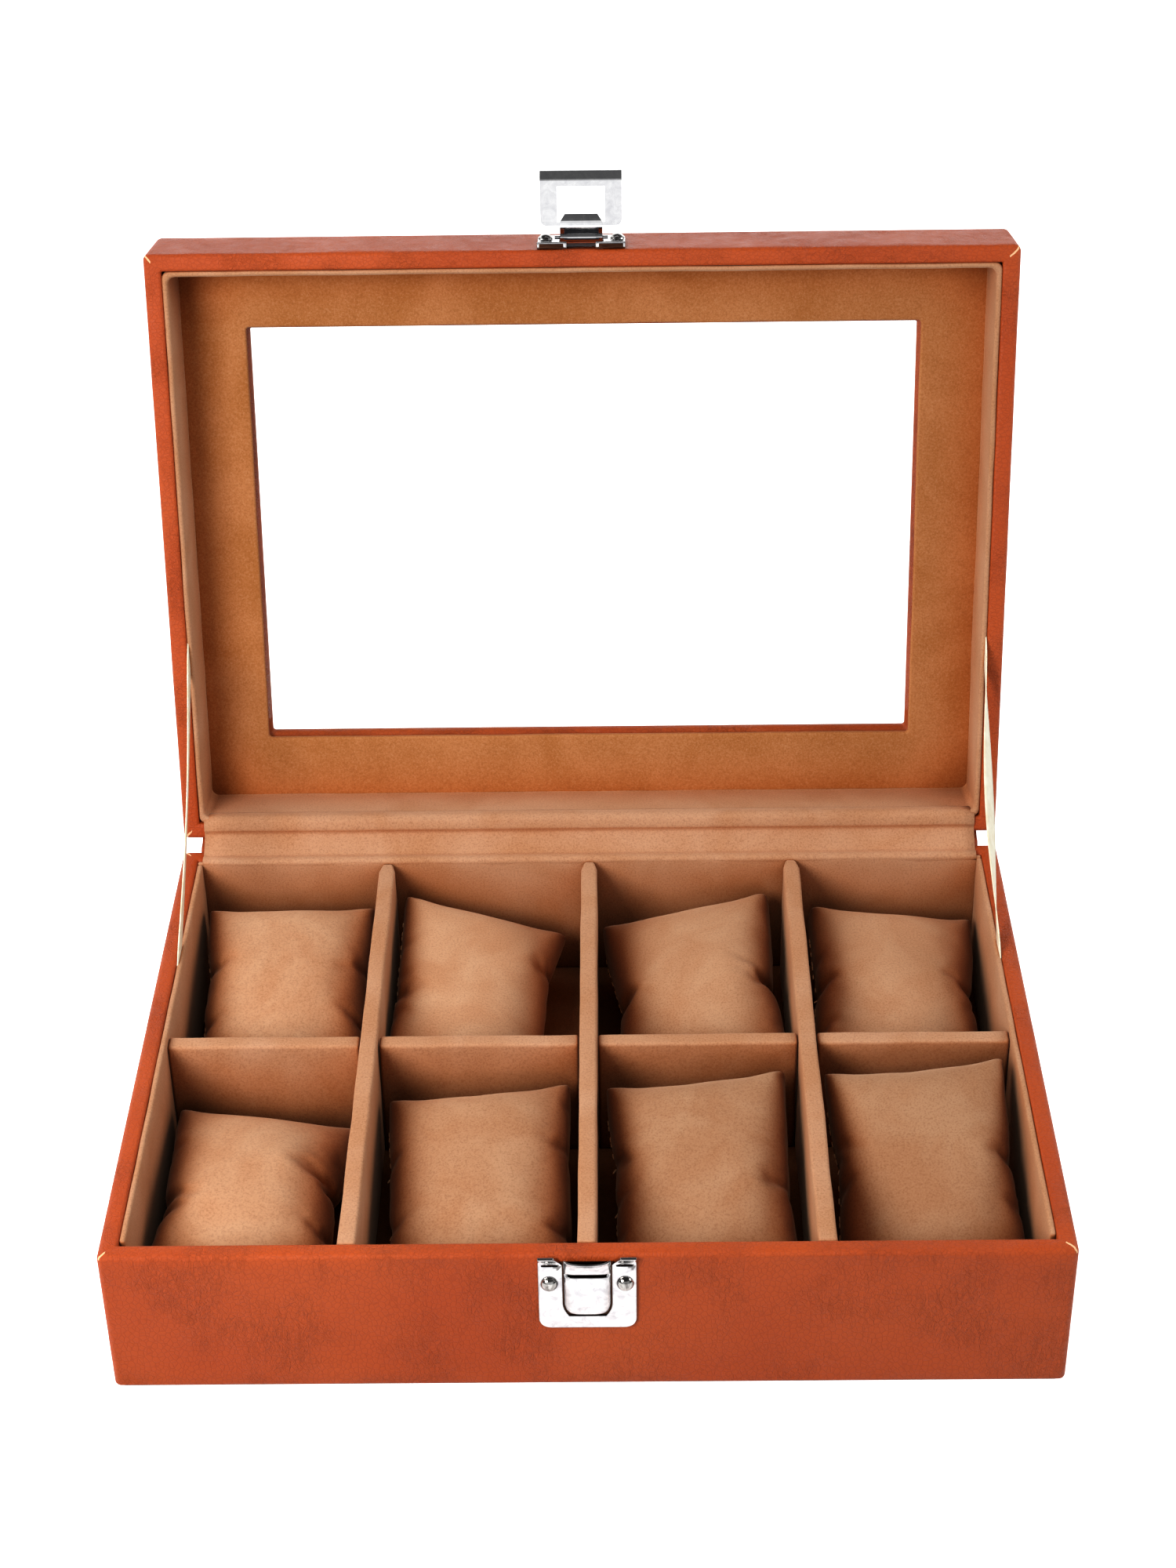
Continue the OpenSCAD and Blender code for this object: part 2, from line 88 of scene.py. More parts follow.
skin_low, skin_high = box_of("base_skin")
HALF_W, HALF_D, RIM_Z = skin_high
lid_low, lid_high = box_of("lid_skin")
LID_Z, LID_TOP = lid_low.z, lid_high.z
liner_low, liner_high = box_of("base_left_liner")
IN_W = -liner_low.x
ROOM_W = -liner_high.x
ROOM_D = liner_high.y
FLOOR_Z = liner_low.z
WALL = HALF_W - IN_W
IN_D = HALF_D - WALL
LINER = IN_W - ROOM_W


def on_lid(back, up):
    """(y, z) of the open lid, at a distance from its back edge and a height over its rim."""
    p = OPENING @ Vector((0, HALF_D - back, LID_Z + up))
    return p.y, p.z


# ---- mesh tools --------------------------------

def rows(low, high, edge, cell):
    """Coordinates from low to high, close together within edge of each end."""
    near = [0, 0.3 * edge, 0.65 * edge]
    count = max(1, round((high - low - 2 * edge) / cell))
    middle = [low + edge + (high - low - 2 * edge) * i / count for i in range(count + 1)]
    return [low + d for d in near] + middle + [high - d for d in reversed(near)]


def grid_box(xs, ys, zs):
    """The skin of a box, with a vertex where each of the given coordinates cross."""
    found, verts, faces = {}, [], []
    last = (len(xs) - 1, len(ys) - 1, len(zs) - 1)

    def vert(key):
        if key not in found:
            found[key] = len(verts)
            verts.append(Vector((xs[key[0]], ys[key[1]], zs[key[2]])))
        return found[key]

    for axis in range(3):
        u, v = (axis + 1) % 3, (axis + 2) % 3
        for end in (0, last[axis]):
            for i in range(last[u]):
                for j in range(last[v]):
                    quad = []
                    for di, dj in ((0, 0), (1, 0), (1, 1), (0, 1)):
                        key = [0, 0, 0]
                        key[axis], key[u], key[v] = end, i + di, j + dj
                        quad.append(vert(tuple(key)))
                    faces.append(quad if end else quad[::-1])
    return verts, faces


def soft_box(low, high, radius, cell=4.0):
    """A box with rounded edges."""
    low, high = Vector(low), Vector(high)
    axes = [rows(low[i], high[i], radius, cell) for i in range(3)]
    verts, faces = grid_box(*axes)
    for v in verts:
        core = Vector(min(max(v[i], low[i] + radius), high[i] - radius) for i in range(3))
        out = v - core
        if out.length > 1e-6:
            v[:] = core + out.normalized() * radius
    return verts, faces


def wobble(verts, amount, size, seed=0.0):
    """Hand-made unevenness: moves every vertex a little, smoothly over the piece."""
    for v in verts:
        v += amount * noise.noise_vector(v / size + Vector((seed, 0.37 * seed, 1.7 * seed)))
    return verts


def outline(a, b, radius):
    """Points round a rounded rectangle of half sizes a and b, the same number for any size."""
    long_steps, short_steps, arc_steps = 56, 40, 8
    turns = [(1, -1, -90), (1, 1, 0), (-1, 1, 90), (-1, -1, 180)]
    arcs = []
    for sx, sy, start in turns:
        centre = Vector((sx * (a - radius), sy * (b - radius)))
        angles = [math.radians(start + 90 * k / arc_steps) for k in range(arc_steps + 1)]
        arcs.append([centre + radius * Vector((math.cos(t), math.sin(t))) for t in angles])
    points = []
    for i, arc in enumerate(arcs):
        points += arc
        after = arcs[(i + 1) % 4][0]
        count = short_steps if i % 2 == 0 else long_steps
        points += [arc[-1].lerp(after, k / count) for k in range(1, count)]
    return points


def sweep_round(profile, a, b):
    """Carries a profile of (inset, height, corner radius) round a rectangle."""
    verts, faces = [], []
    for inset, z, radius in profile:
        ring = outline(a - inset, b - inset, radius)
        verts += [Vector((p.x, p.y, z)) for p in ring]
    n = len(verts) // len(profile)
    for i in range(len(profile) - 1):
        for j in range(n):
            k = (j + 1) % n
            faces.append([i * n + j, (i + 1) * n + j, (i + 1) * n + k, i * n + k])
    return verts, faces


def turn_in(x, y, radius, start, end, steps=5):
    """Points of an arc in a profile, as (x, y). Angles are in degrees."""
    angles = [math.radians(start + (end - start) * k / steps) for k in range(steps + 1)]
    return [(x + radius * math.cos(t), y + radius * math.sin(t)) for t in angles]


def between(low, high, cell):
    count = max(1, round(abs(high - low) / cell))
    return [low + (high - low) * k / count for k in range(1, count)]


def piece(name, verts, faces, material, body=None, smooth=True):
    """A mesh object from millimetres, turned open with the lid where it rides the lid. Its
    rest_pos attribute is what its material reads."""
    mesh = bpy.data.meshes.new(name)
    placed = [OPENING @ v for v in verts] if body == "lid" else verts
    mesh.from_pydata([tuple(v * MM) for v in placed], [], faces)
    rest = mesh.attributes.new("rest_pos", "FLOAT_VECTOR", "POINT")
    rest.data.foreach_set("vector", [c for v in verts for c in v])
    mesh.materials.append(material)
    mesh.polygons.foreach_set("use_smooth", [smooth] * len(mesh.polygons))
    mesh.update()
    obj = bpy.data.objects.new(name, mesh)
    bpy.context.scene.collection.objects.link(obj)
    if body:
        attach(obj, body)
    return obj


def tube_faces(count, n):
    """The sides between count + 1 rings of n points, and the two ends."""
    faces = [
        [i * n + j, i * n + (j + 1) % n, (i + 1) * n + (j + 1) % n, (i + 1) * n + j]
        for i in range(count) for j in range(n)
    ]
    return faces + [list(range(n))[::-1], [count * n + j for j in range(n)]]


def joined(parts):
    """Several (verts, faces) as one."""
    verts, faces = [], []
    for more_verts, more_faces in parts:
        offset = len(verts)
        verts += more_verts
        faces += [[i + offset for i in f] for f in more_faces]
    return verts, faces


# ---- materials ---------------------------------

def rgb(text):
    """A linear colour from six hex digits."""
    parts = [int(text[i:i + 2], 16) / 255 for i in (0, 2, 4)]
    return [c / 12.92 if c <= 0.04045 else ((c + 0.055) / 1.055) ** 2.4 for c in parts] + [1.0]


class Graph:
    """A node material with one Principled shader, read in millimetres."""

    def __init__(self, name, from_cad=False):
        self.material = bpy.data.materials.new(name)
        self.material.use_nodes = True
        self.tree = self.material.node_tree
        self.tree.nodes.clear()
        self.output = self.node("ShaderNodeOutputMaterial")
        self.shader = self.node("ShaderNodeBsdfPrincipled")
        self.link(self.shader.outputs[0], self.output.inputs["Surface"])
        if from_cad:
            source = self.node("ShaderNodeTexCoord").outputs["Object"]
            scale = self.node("ShaderNodeVectorMath", operation="SCALE")
            scale.inputs["Scale"].default_value = 1 / MM
            self.link(source, scale.inputs[0])
            self.where = scale.outputs[0]
        else:
            attribute = self.node("ShaderNodeAttribute", attribute_name="rest_pos")
            self.where = attribute.outputs["Vector"]

    def node(self, kind, **settings):
        made = self.tree.nodes.new(kind)
        for key, value in settings.items():
            setattr(made, key, value)
        return made

    def link(self, a, b):
        self.tree.links.new(a, b)

    def put(self, socket, value):
        if isinstance(value, bpy.types.NodeSocket):
            self.link(value, socket)
        else:
            socket.default_value = value

    def math(self, operation, *values):
        made = self.node("ShaderNodeMath", operation=operation)
        for socket, value in zip(made.inputs, values):
            self.put(socket, value)
        return made.outputs[0]

    def stretched(self, x, y, z):
        made = self.node("ShaderNodeVectorMath", operation="MULTIPLY")
        self.link(self.where, made.inputs[0])
        made.inputs[1].default_value = (x, y, z)
        return made.outputs[0]

    def noise(self, size, detail=2.0, rough=0.5, bend=0.0, where=None):
        """Noise from 0 to 1 with features about size millimetres across."""
        made = self.node("ShaderNodeTexNoise")
        self.link(where or self.where, made.inputs["Vector"])
        made.inputs["Scale"].default_value = 1 / size
        made.inputs["Detail"].default_value = detail
        made.inputs["Roughness"].default_value = rough
        made.inputs["Distortion"].default_value = bend
        return made.outputs[0]

    def cells(self, size, where):
        """Distance from the borders of cells about size millimetres across."""
        made = self.node("ShaderNodeTexVoronoi", feature="DISTANCE_TO_EDGE")
        self.link(where, made.inputs["Vector"])
        made.inputs["Scale"].default_value = 1 / size
        return made.outputs[0]

    def ramp(self, value, *stops):
        """Maps a number through (position, value) stops. A value is a number or a colour."""
        made = self.node("ShaderNodeValToRGB")
        points = made.color_ramp.elements
        while len(points) < len(stops):
            points.new(0.5)
        for point, (position, level) in zip(points, stops):
            point.position = position
            point.color = level if isinstance(level, list) else [level, level, level, 1.0]
        self.link(value, made.inputs[0])
        return made.outputs[0]

    def mix(self, share, a, b, blend="MIX"):
        made = self.node("ShaderNodeMix", data_type="RGBA", blend_type=blend)
        self.put(made.inputs[0], share)
        self.put(made.inputs[6], a)
        self.put(made.inputs[7], b)
        return made.outputs[2]

    def tint(self, value, dark, light, low=0.3, high=0.7):
        """From the colour dark to the colour light as value goes from low to high."""
        return self.mix(self.ramp(value, (low, 0.0), (high, 1.0)), rgb(dark), rgb(light))

    def axes(self):
        """The x, y and z of the place on the piece."""
        split = self.node("ShaderNodeSeparateXYZ")
        self.link(self.where, split.inputs[0])
        return split.outputs

    def bump(self, height, depth, strength, after=None):
        """depth is in millimetres."""
        made = self.node("ShaderNodeBump")
        made.inputs["Strength"].default_value = strength
        made.inputs["Distance"].default_value = depth * MM
        self.put(made.inputs["Height"], height)
        if after is not None:
            self.link(after, made.inputs["Normal"])
        return made.outputs[0]

    def sheltered(self, reach):
        """From 0 deep in a gap to 1 in the open, over reach millimetres."""
        made = self.node("ShaderNodeAmbientOcclusion", samples=8)
        made.inputs["Distance"].default_value = reach * MM
        return made.outputs["AO"]

    def edges(self):
        """0 on flat metal, 1 along outer edges."""
        return self.ramp(self.node("ShaderNodeNewGeometry").outputs["Pointiness"], (0.51, 0.0), (0.57, 1.0))

    def finish(self, color, rough, normal=None, **fixed):
        self.put(self.shader.inputs["Base Color"], color)
        self.put(self.shader.inputs["Roughness"], rough)
        if normal is not None:
            self.link(normal, self.shader.inputs["Normal"])
        for name, value in fixed.items():
            self.shader.inputs[name.replace("_", " ")].default_value = value
        return self.material


def leather(name, light, dark, rim=None):
    """Embossed leatherette: creased grain, faint wrinkles, and worn pale mitres on the rim."""
    g = Graph(name)
    patches = g.noise(60, 2, 0.5)
    color = g.tint(patches, dark, light, 0.35, 0.65)
    fine = g.noise(5, 4, 0.7)
    color = g.mix(g.ramp(fine, (0.4, 0.0), (0.75, 0.16)), color, rgb("C4643A"))
    grain = g.cells(1.5, g.stretched(1, 1.3, 0.8))
    creases = g.ramp(grain, (0.0, 0.0), (0.14, 1.0))
    color = g.mix(g.ramp(grain, (0.0, 0.24), (0.1, 0.0)), color, rgb("6E240B"))
    strokes = g.noise(2.6, 5, 0.62, 1.8, g.stretched(1.0, 1.0, 0.45))
    wrinkles = g.ramp(strokes, (0.40, 0.0), (0.5, 1.0), (0.60, 0.0))
    reach = g.ramp(g.noise(24, 2), (0.42, 0.0), (0.62, 1.0))
    wrinkles = g.math("MULTIPLY", wrinkles, reach)
    normal = g.bump(g.noise(30, 2), 0.5, 0.5)
    normal = g.bump(wrinkles, 0.22, 0.7, normal)
    normal = g.bump(creases, 0.10, 0.6, normal)
    rough = g.ramp(fine, (0.3, 0.46), (0.7, 0.62))
    if rim is not None:
        worn = mitre(g, rim)
        color = g.mix(worn, color, rgb("F2C79A"))
    return g.finish(color, rough, normal, Specular_IOR_Level=0.27)


def mitre(g, rim):
    """1 on the pale cut edge of the leather along the corners' diagonals, at height rim."""
    axes = g.axes()
    x = g.math("ABSOLUTE", axes[0])
    y = g.math("ABSOLUTE", axes[1])
    across = g.math("SUBTRACT", g.math("SUBTRACT", x, y), HALF_W - HALF_D)
    across = g.math("ADD", across, g.math("MULTIPLY", g.math("SUBTRACT", g.noise(3), 0.5), 1.6))
    near = g.math("LESS_THAN", g.math("ABSOLUTE", across), 0.42)
    inset = g.math("SUBTRACT", HALF_W, x)
    outer = g.math("LESS_THAN", inset, g.math("MULTIPLY", g.noise(11, 1), 6.5))
    level = g.math("LESS_THAN", g.math("ABSOLUTE", g.math("SUBTRACT", axes[2], rim)), 1.3)
    return g.math("MULTIPLY", g.math("MULTIPLY", near, outer), level)


def velvet(name, light, dark, nap=26, tone=1.0):
    """Suede cloth: brushed patches, a fine speckled nap, a soft sheen, and painted shade in gaps, tinted warm as
    painted bounce light.
    """
    g = Graph(name)
    brushed = g.noise(nap, 3, 0.55, 0.6)
    color = g.tint(brushed, dark, light, 0.36, 0.64)
    speckle = g.noise(0.62, 3, 0.75)
    color = g.mix(g.ramp(speckle, (0.35, 0.30), (0.5, 0.0)), color, rgb("753F1B"))
    color = g.mix(g.ramp(speckle, (0.52, 0.0), (0.68, 0.28)), color, rgb("D0A985"))
    # Painted shade: where little open air reaches the cloth it is tinted warm as painted bounce light, then
    # darkened as painted shadow deep in gaps.
    air = g.sheltered(24)
    painted_warm_shade = g.mix(1.0, color, rgb("F6CCA2"), "MULTIPLY")
    color = g.mix(g.ramp(air, (0.35, 0.0), (0.85, 1.0)), painted_warm_shade, color)
    color = g.mix(g.ramp(air, (0.06, 0.0), (0.52, 1.0)), g.mix(0.90, color, rgb("200802")), color)
    color = g.mix(1.0, color, [tone, tone ** 1.15, tone ** 1.3, 1.0], "MULTIPLY")
    pile = g.noise(0.55, 2, 0.6)
    normal = g.bump(brushed, 0.6, 0.35)
    normal = g.bump(pile, 0.10, 0.5, normal)
    return g.finish(
        color, g.ramp(speckle, (0.3, 0.86), (0.7, 0.98)), normal,
        Sheen_Weight=0.35, Sheen_Roughness=0.45, Sheen_Tint=rgb("FFD9B8"),
        Specular_IOR_Level=0.12,
    )


def chrome(name, from_cad=False, light="CECECF", dark="AAAAAE", edge="6E6C6C"):
    """Polished plating over pressed steel: faint swirls, a painted dark reflection along its edges, and painted
    shade in tight corners.
    """
    g = Graph(name, from_cad)
    haze = g.noise(3.2, 3, 0.6, 0.8)
    color = g.tint(haze, dark, light, 0.32, 0.68)
    if not from_cad:
        # Painted reflection: the edge colour darkens sharp edges as if they mirrored dark surroundings.
        color = g.mix(g.edges(), color, rgb(edge))
    # Painted shade: near-black where the metal sits in tight corners against other parts.
    painted_corner_shade = g.ramp(g.sheltered(1.2), (0.45, 1.0), (0.85, 0.0))
    color = g.mix(painted_corner_shade, color, rgb("241A18"))
    normal = g.bump(g.noise(3.5, 2), 0.03, 0.25)
    return g.finish(color, g.ramp(haze, (0.3, 0.06), (0.7, 0.14)), normal, Metallic=1.0)


def spring_steel(name, dark="55565A", light="77787C"):
    """Tempered steel, darker than the plating, with fine rolling lines. Made near-black, it also serves as painted
    shadow.
    """
    g = Graph(name)
    lines = g.noise(0.5, 3, 0.6, 0.0, g.stretched(0.15, 1, 1))
    color = g.tint(lines, dark, light)
    return g.finish(color, g.ramp(lines, (0.3, 0.26), (0.7, 0.40)), g.bump(lines, 0.01, 0.3), Metallic=1.0)


def thread(name):
    """Twisted sewing thread."""
    g = Graph(name)
    twist = g.noise(0.4, 2, 0.6, 0.0, g.stretched(1, 1, 2.5))
    color = g.tint(twist, "D9A877", "F2D2A8")
    return g.finish(color, g.ramp(twist, (0.3, 0.6), (0.7, 0.8)), g.bump(twist, 0.05, 0.6))


def board(name):
    """Pressed wood fibre."""
    g = Graph(name, from_cad=True)
    fibre = g.noise(1.2, 4, 0.7, 0.3, g.stretched(0.25, 1, 1))
    color = g.tint(fibre, "9C7A52", "C9A878")
    return g.finish(color, g.ramp(fibre, (0.3, 0.75), (0.7, 0.9)), g.bump(fibre, 0.08, 0.5))


def backing(name):
    """Dark napped paper on the underside."""
    g = Graph(name, from_cad=True)
    nap = g.noise(0.7, 3, 0.7)
    color = g.tint(g.noise(18, 3), "3A1A0C", "552A15")
    color = g.mix(g.ramp(nap, (0.5, 0.0), (0.8, 0.3)), color, rgb("7A4A2E"))
    return g.finish(color, g.ramp(nap, (0.3, 0.8), (0.7, 0.95)), g.bump(nap, 0.1, 0.6))


def satin(name):
    """Cream ribbon with ribs across its width."""
    g = Graph(name)
    ribs = g.math("SINE", g.math("MULTIPLY", g.axes()[0], 9.0))
    tone = g.noise(4, 2)
    color = g.tint(tone, "E9DFC0", "FBF6E2")
    height = g.ramp(g.math("MULTIPLY_ADD", ribs, 0.5, 0.5), (0.0, 0.0), (1.0, 1.0))
    return g.finish(
        color, g.ramp(tone, (0.3, 0.42), (0.7, 0.6)), g.bump(height, 0.05, 0.6),
        Sheen_Weight=0.2, Specular_IOR_Level=0.5,
    )


def clear_glass(name):
    """A pane that lets light straight through and mirrors where light meets it from outside."""
    g = Graph(name, from_cad=True)
    g.tree.nodes.remove(g.shader)
    clear = g.node("ShaderNodeBsdfTransparent")
    g.link(g.tint(g.noise(30, 3), "FAFDFC", "FDFEFE"), clear.inputs[0])
    mirror = g.node("ShaderNodeBsdfGlossy")
    mirror.inputs["Roughness"].default_value = 0.02
    fresnel = g.node("ShaderNodeFresnel")
    fresnel.inputs["IOR"].default_value = 1.45
    facing = g.node("ShaderNodeNewGeometry")
    outer = g.math("SUBTRACT", 1.0, facing.outputs["Backfacing"])
    mixed = g.node("ShaderNodeMixShader")
    g.link(g.math("MULTIPLY", fresnel.outputs[0], outer), mixed.inputs[0])
    g.link(clear.outputs[0], mixed.inputs[1])
    g.link(mirror.outputs[0], mixed.inputs[2])
    g.link(mixed.outputs[0], g.output.inputs["Surface"])
    return g.material


base_leather_look = leather("leather_base", "B65424", "AC4A1C", RIM_Z)
lid_leather_look = leather("leather_lid", "B65424", "AC4A1C", LID_Z)
hinge_leather_look = leather("leather_hinge", "AE4E22", "A1451A")
velvet_look = velvet("velvet_lining", "C09678", "B78866")
frame_look = velvet("velvet_frame", "BC8254", "AE7342", nap=34)


def suede(name, tone):
    """Cushion cloth. tone is how much lighter or darker its colour is made."""
    return velvet(name, "C49C7C", "BA8C6A", nap=22, tone=tone)


chrome_look = chrome("chrome")
board_look = board("wood_fibre")
backing_look = backing("underside_nap")
ribbon_look = satin("ribbon_satin")
glass_look = clear_glass("glass")
# Nail heads: plating whose deep dark mottles are painted dark reflections.
nail_look = chrome("nail_plating_painted_reflection", light="C9C8C6", dark="4A4644", edge="8A8886")
thread_look = thread("cushion_thread")
spring_look = spring_steel("spring_steel")
# Near-black sheets that stand in as painted shadow in the hasp's flanges and behind the catch's slot.
shade_sheet_look = spring_steel("flange_shade_sheet", "2E1A14", "4A3226")

# ---- camera, floor and light -------------------

camera = bpy.data.objects.new("camera", bpy.data.cameras.new("camera"))
camera.data.lens = 63.58
camera.data.sensor_width = 36
camera.data.clip_start, camera.data.clip_end = 0.05, 20
camera.location = Vector((9.749, -681.917, 599.411)) * MM
pitch, yaw, roll = 0.58729, -0.012463, -0.016223
ahead = Vector((math.sin(yaw) * math.cos(pitch), math.cos(yaw) * math.cos(pitch), -math.sin(pitch)))
level = Vector((math.cos(yaw), -math.sin(yaw), 0))
upward = level.cross(ahead)
side = math.cos(roll) * level + math.sin(roll) * upward
top = -math.sin(roll) * level + math.cos(roll) * upward
camera.rotation_euler = Matrix((side, top, -ahead)).transposed().to_euler()
bpy.context.scene.collection.objects.link(camera)
bpy.context.scene.camera = camera


def floor_look():
    """White paper that glows as painted light, dimmer near the box and brighter further away."""
    g = Graph("studio_floor")
    color = g.tint(g.noise(400, 2), "F4F4F4", "F7F7F7")
    far = g.node("ShaderNodeVectorMath", operation="LENGTH")
    g.link(g.where, far.inputs[0])
    glow = g.ramp(g.math("MULTIPLY", far.outputs["Value"], 0.001), (0.15, 0.85), (0.6, 1.0))
    g.link(glow, g.shader.inputs["Emission Strength"])
    return g.finish(color, 0.9, Emission_Color=rgb("FFFFFF"), Specular_IOR_Level=0.0)


floor_half = 3000
floor = piece(
    "studio_floor",
    [Vector((x * floor_half, y * floor_half, -0.15)) for x, y in ((-1, -1), (1, -1), (1, 1), (-1, 1))],
    [[0, 1, 2, 3]], floor_look(), smooth=False,
)
floor.visible_diffuse = False


lit_spot = Vector((0, 0, 0.06))


def lamp(name, place, size, power, tint="FFFFFF"):
    """A round lamp turned to the box. place and size are in metres."""
    data = bpy.data.lights.new(name, "AREA")
    data.shape = "DISK"
    data.size = size
    data.energy = power
    data.color = rgb(tint)[:3]
    obj = bpy.data.objects.new(name, data)
    obj.location = place
    obj.rotation_euler = (Vector(place) - lit_spot).to_track_quat("Z", "Y").to_euler()
    bpy.context.scene.collection.objects.link(obj)


lamp("key", (-0.44, -0.54, 0.50), 0.42, 6.6, "FFFAF4")
lamp("left_fill", (-0.65, 0.0, 0.55), 0.50, 1.6)
lamp("right_fill", (0.95, 0.0, 0.60), 0.60, 5.2)
lamp("back_fill", (-0.70, 0.60, 0.80), 0.45, 1.3)


def studio_world():
    """White to the camera, a soft fill for matt surfaces, and white walls under a dark ceiling
    in reflections."""
    world = bpy.data.worlds.new("studio")
    world.use_nodes = True
    tree = world.node_tree
    path = tree.nodes.new("ShaderNodeLightPath")
    background = tree.nodes["Background"]
    background.inputs[0].default_value = rgb("FFFFFF")
    split = tree.nodes.new("ShaderNodeSeparateXYZ")
    tree.links.new(tree.nodes.new("ShaderNodeTexCoord").outputs["Generated"], split.inputs[0])

    def ramp(value, *stops):
        made = tree.nodes.new("ShaderNodeMapRange")
        made.interpolation_type = "SMOOTHSTEP"
        tree.links.new(value, made.inputs["Value"])
        for socket, level in zip(("From Min", "From Max", "To Min", "To Max"), stops):
            made.inputs[socket].default_value = level
        return made.outputs[0]

    def blend(share, a, b):
        made = tree.nodes.new("ShaderNodeMix")
        made.data_type = "FLOAT"
        tree.links.new(share, made.inputs[0])
        for socket, value in ((made.inputs[2], a), (made.inputs[3], b)):
            if isinstance(value, float):
                socket.default_value = value
            else:
                tree.links.new(value, socket)
        return made.outputs[0]

    walls = ramp(split.outputs[1], 0.2, 0.8, 1.1, 2.8)
    across = tree.nodes.new("ShaderNodeMath")
    across.operation = "ABSOLUTE"
    tree.links.new(split.outputs[0], across.inputs[0])
    walls = blend(ramp(across.outputs[0], 0.60, 0.90, 0.0, 1.0), walls, 0.15)
    mirrored = blend(ramp(split.outputs[2], 0.38, 0.66, 0.0, 1.0), walls, 0.14)
    unseen = blend(path.outputs["Is Glossy Ray"], 0.42, mirrored)
    tree.links.new(blend(path.outputs["Is Camera Ray"], unseen, 1.0), background.inputs[1])
    return world


bpy.context.scene.world = studio_world()
bpy.context.scene.view_settings.view_transform = "Standard"
bpy.context.scene.view_settings.gamma = 0.82

# ---- leather -----------------------------------

rim_r = 1.6
inner_r = 1.1
corner_r = 2.0
sharp_r = 0.5


def corner(inset):
    return max(corner_r - inset, sharp_r)


def rim_profile(z, up, fold):
    """(inset, height, corner radius) from the fold inside, over a rim at z, to the outer side."""
    s = 1 if up else -1
    line = [(WALL, z - s * d) for d in (fold, fold * 0.5, inner_r + 1.5)]
    line += [(x, z - s * inner_r + s * y) for x, y in turn_in(WALL - inner_r, 0, inner_r, 0, 90)]
    line += [(x, z + s * 0.05) for x in between(WALL - inner_r, rim_r, 0.9)]
    line += [(x, z - s * rim_r + s * y) for x, y in turn_in(rim_r, 0, rim_r, 90, 180, 7)]
    return line


def with_corners(line):
    return [(inset, z, corner(inset)) for inset, z in line]


bottom_r = 1.5
under_z = skin_low.z
base_line = rim_profile(RIM_Z, True, 12)
base_line += [(0, z) for z in between(RIM_Z - rim_r, under_z + bottom_r, 4)]
base_line += [(x, under_z + bottom_r + y) for x, y in turn_in(bottom_r, 0, bottom_r, 180, 270)]
base_line += [(5, under_z)]


def puff(verts, faces, amount, size, seed):
    """Moves leather in and out a little where it isn't held by an edge."""
    for v in verts:
        n = noise.noise(v / size + Vector((seed, seed, seed)))
        side_on = abs(v.x) > HALF_W - 0.01 or abs(v.y) > HALF_D - 0.01
        flat_on = v.z in (RIM_Z + 0.05, LID_Z - 0.05, LID_TOP)
        if side_on:
            v.x += amount * n * (1 if v.x > HALF_W - 0.01 else -1 if v.x < 0.01 - HALF_W else 0)
            v.y += amount * n * (1 if v.y > HALF_D - 0.01 else -1 if v.y < 0.01 - HALF_D else 0)
        elif flat_on:
            v.z += 0.5 * amount * n
    return verts, faces


wrap = sweep_round(with_corners(base_line), HALF_W, HALF_D)
base_wrap = piece("base_leather", *puff(*wrap, 0.22, 22, 3.1), base_leather_look, "base")
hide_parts("base_skin")

window_high = box_of("window_glass")[1]
panel_low, panel_high = box_of("lid_window_liner")
top_r = 2.0
reveal = HALF_W - (box_of("lid_top_right")[0].x - 0.8)
lid_line = rim_profile(LID_Z, False, 12)
lid_line += [(0, z) for z in between(LID_Z + rim_r, LID_TOP - top_r, 4)]
lid_line += [(x, LID_TOP - top_r + y) for x, y in turn_in(top_r, 0, top_r, 180, 90, 7)]
lid_line += [(x, LID_TOP) for x in between(top_r, reveal - 1, 4)]
lid_loop = with_corners(lid_line)
lid_loop += [
    (x, LID_TOP - 1 + y, 1.0) for x, y in turn_in(reveal - 1, 0, 1.0, 90, 0)
]
lid_loop += [(reveal, window_high.z - 0.05, 1.0), (reveal - 5, window_high.z - 0.05, 2.0)]
wrap = sweep_round(lid_loop, HALF_W, HALF_D)
lid_wrap = piece("lid_leather", *puff(*wrap, 0.22, 22, 7.9), lid_leather_look, "lid")
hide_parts("lid_skin")

# ---- velvet linings ----------------------------

edge_r = 0.85
front_drop = 2.4
for seed, part in enumerate(("floor", "front", "back", "left", "right"), 1):
    node = f"base_{part}_liner"
    low, high = box_of(node)
    radius = 0.7 if part == "floor" else edge_r
    if part == "front":
        high.z -= front_drop
    name = "floor_velvet" if part == "floor" else f"{part}_wall_velvet"
    verts, faces = soft_box(low, high, radius)
    made = piece(name, wobble(verts, 0.16, 13, seed), faces, velvet_look, "base")
    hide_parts(node)

# The lid's side lining is one band with rounded corners, lipped at the rim
band_r = 2.4
lip_z = box_of("lid_left_liner")[0].z
band_top = panel_low.z
band = [(0, band_top), (0, lip_z + edge_r + 1), (0, lip_z + edge_r)]
band += [(edge_r - x, lip_z + edge_r - y) for x, y in turn_in(0, 0, edge_r, 20, 160, 7)]
band += [(LINER, lip_z + edge_r), (LINER, lip_z + edge_r + 1)]
band += [(LINER, z) for z in between(lip_z + edge_r + 1, band_top - 0.6, 3)]
band += [(LINER, band_top - 0.6), (LINER + 0.2, band_top - 0.1)]
verts, faces = sweep_round([(x, z, band_r) for x, z in band], IN_W, IN_D)
lid_band = piece("lid_wall_velvet", wobble(verts, 0.22, 15, 9.0), faces, velvet_look, "lid")
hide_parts("lid_front_liner", "lid_back_liner", "lid_left_liner", "lid_right_liner")

